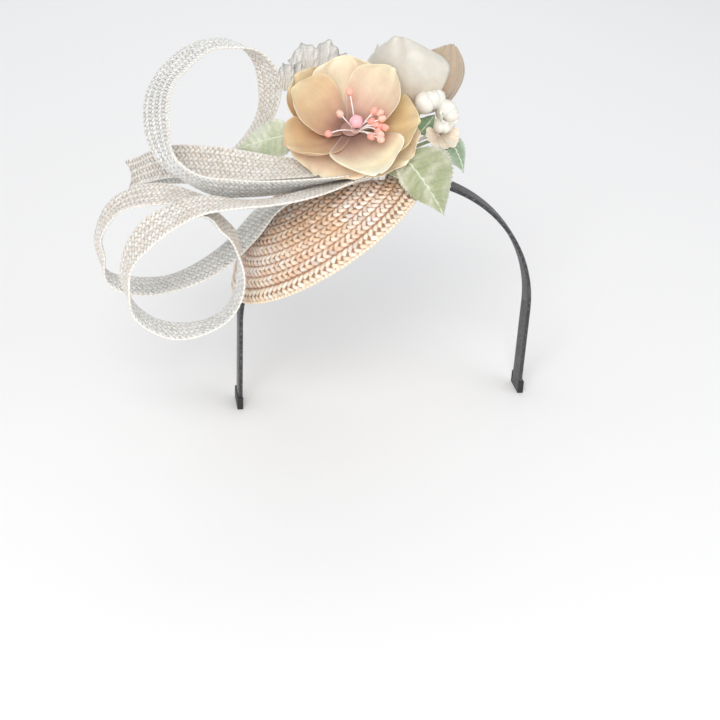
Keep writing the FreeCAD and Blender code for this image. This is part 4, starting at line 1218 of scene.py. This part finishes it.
# ---- wrapped wire stems and calyxes ----
DISC_AXIS = unit(np.array([-14.0, 6.0, 84.0]) - SPHERE_CENTRE)
_, disc_first, disc_second = axis_frame(DISC_AXIS)
DISC_TOP = SPHERE_CENTRE + DISC_AXIS * (SPHERE_R + 1.6 - 0.8)
STEMS = {
    "peach_stem": ((-5, -4), PEACH_THROAT - PEACH_AXIS * 5.5),
    "cream_stem": ((3, 4), CREAM_BASE - CREAM_AXIS * 4.5),
    "bud_stem": ((6, -2), (19.5, -1.8, 99.6)),
    "leaf_stem_hanging": ((4, -7), LEAVES["leaf_hanging"][0]),
    "leaf_stem_left": ((-8, 1), LEAVES["leaf_left_pale"][0]),
    "leaf_stem_dark": ((7.5, -5), LEAVES["leaf_dark_side"][0]),
    "leaf_stem_small": ((8, 1.5), LEAVES["leaf_small_dark"][0]),
    "organza_stem_left": ((-5, 5.5), (-46.6, 24.4, 110.8)),
    "organza_stem_back": ((-1, 8), (-34.0, 34.2, 114.6)),
}
STEM_R = 0.9
for name, ((a, b), end) in STEMS.items():
    start = DISC_TOP + disc_first * a + disc_second * b
    end = np.asarray(end, float)
    reach = np.linalg.norm(end - start)
    u = np.linspace(0, 1, int(reach / 0.22))[:, None]
    bow = np.cross(unit(end - start), (0.2, 0.1, 0.9)) * 0.35 * math.sin(len(name))
    path = start * (1 - u) + end * u + bow * np.sin(2 * math.pi * u)
    wrap = STEM_R * (0.93 + 0.10 * ((u[:, 0] * reach / 1.5) % 1.0))
    colour = (0.46, 0.54, 0.34) if "leaf" in name else (0.80, 0.82, 0.76)
    piece(name, [tube_part(path, wrap, colour, sides=12)], "stem_wrap", look="paper")

for name, base, axis, low_r, high_r, tall in (
        ("peach_calyx", PEACH_THROAT - PEACH_AXIS * 6, PEACH_AXIS, 1.5, 3.6, 7.0),
        ("cream_calyx", CREAM_BASE - CREAM_AXIS * 5, CREAM_AXIS, 1.5, 3.4, 6.0)):
    u = np.linspace(0, 1, 36)
    path = base + axis * (u * tall)[:, None]
    swell = low_r + (high_r - low_r) * u ** 1.3 * (1 - 0.45 * smoothstep(0.6, 1, u))
    swell = swell * (0.97 + 0.06 * ((u * tall / 1.3) % 1.0))
    parts = [tube_part(path, swell, (0.44, 0.54, 0.32), sides=20)]
    for k in range(5):
        grid, _, _ = petal_grid(base + axis * (tall * 0.15), axis, 36 + 72 * k, 4.6, 1.7,
                                (48, -12), 0.5, start=2.0)
        parts.append(sheet_part(grid, 0.35, (0.48, 0.60, 0.36)))
    piece(name, parts, "calyx", look="paper")

# ---- small hand stitches inside the rim ----
STITCHES = 72
lining_in = SPHERE_R - STRAW_THICK - BUCKRAM_THICK - LINING_INNER
u = np.linspace(-1, 1, 7)
stitches = []
for k in range(STITCHES):
    turn = 2 * math.pi * k / STITCHES + 0.02 * math.sin(3.7 * k)
    polar = RIM_POLAR - (4.4 + 0.9 * u * math.cos(k)) / SPHERE_R
    lift = (lining_in - 0.10 - 0.25 * (1 - u ** 2)) - SPHERE_R
    path = on_dome(polar, turn + 0.018 * u, lift)
    stitches.append(tube_part(path, 0.17, (0.93, 0.88, 0.80), sides=6))
piece("rim_stitches", stitches, "thread", nodes=())

for name in ("band_tip_left", "band_tip_right"):
    rounded = NODES[name].modifiers.new("rounded", "BEVEL")
    rounded.width = 0.00035
    rounded.segments = 3
    rounded.limit_method = "ANGLE"

# ---- floor, light and view ----
FLOOR_Z = float(cad_low[2]) - 0.00005
FLOOR_HALF = 4.0
floor_mesh = bpy.data.meshes.new("floor")
floor_mesh.from_pydata([(-FLOOR_HALF, -FLOOR_HALF, FLOOR_Z), (FLOOR_HALF, -FLOOR_HALF, FLOOR_Z),
                        (FLOOR_HALF, FLOOR_HALF, FLOOR_Z), (-FLOOR_HALF, FLOOR_HALF, FLOOR_Z)],
                       [], [(0, 1, 2, 3)])
floor_mesh.materials.append(Look("floor_pale", (0.90, 0.90, 0.90), 0.9).material)
floor = added("floor", floor_mesh)

world = bpy.data.worlds.new("studio")
world.use_nodes = True
sky = world.node_tree.nodes["Background"].inputs
sky["Color"].default_value = (0.97, 0.98, 1.0, 1)
sky["Strength"].default_value = 0.66
bpy.context.scene.world = world
LIT_AT = Vector((-0.03, 0.0, 0.07))


def add_light(name, place, size, power, colour=(1, 1, 1)):
    data = bpy.data.lights.new(name, "AREA")
    data.size = size
    data.energy = power
    data.color = colour
    lamp = added(name, data)
    lamp.location = place
    lamp.rotation_euler = (LIT_AT - lamp.location).to_track_quat("-Z", "Y").to_euler()


add_light("key", (-0.40, -0.95, 0.95), 0.7, 8.5, (1.0, 0.985, 0.96))
add_light("fill", (0.9, -0.7, 0.4), 0.9, 2.4, (0.97, 0.98, 1.0))
add_light("front", (-0.35, -1.25, 0.12), 0.8, 3.5)
add_light("rim", (0.1, 0.9, 0.8), 0.7, 2.0)
bpy.context.scene.view_settings.view_transform = "Standard"
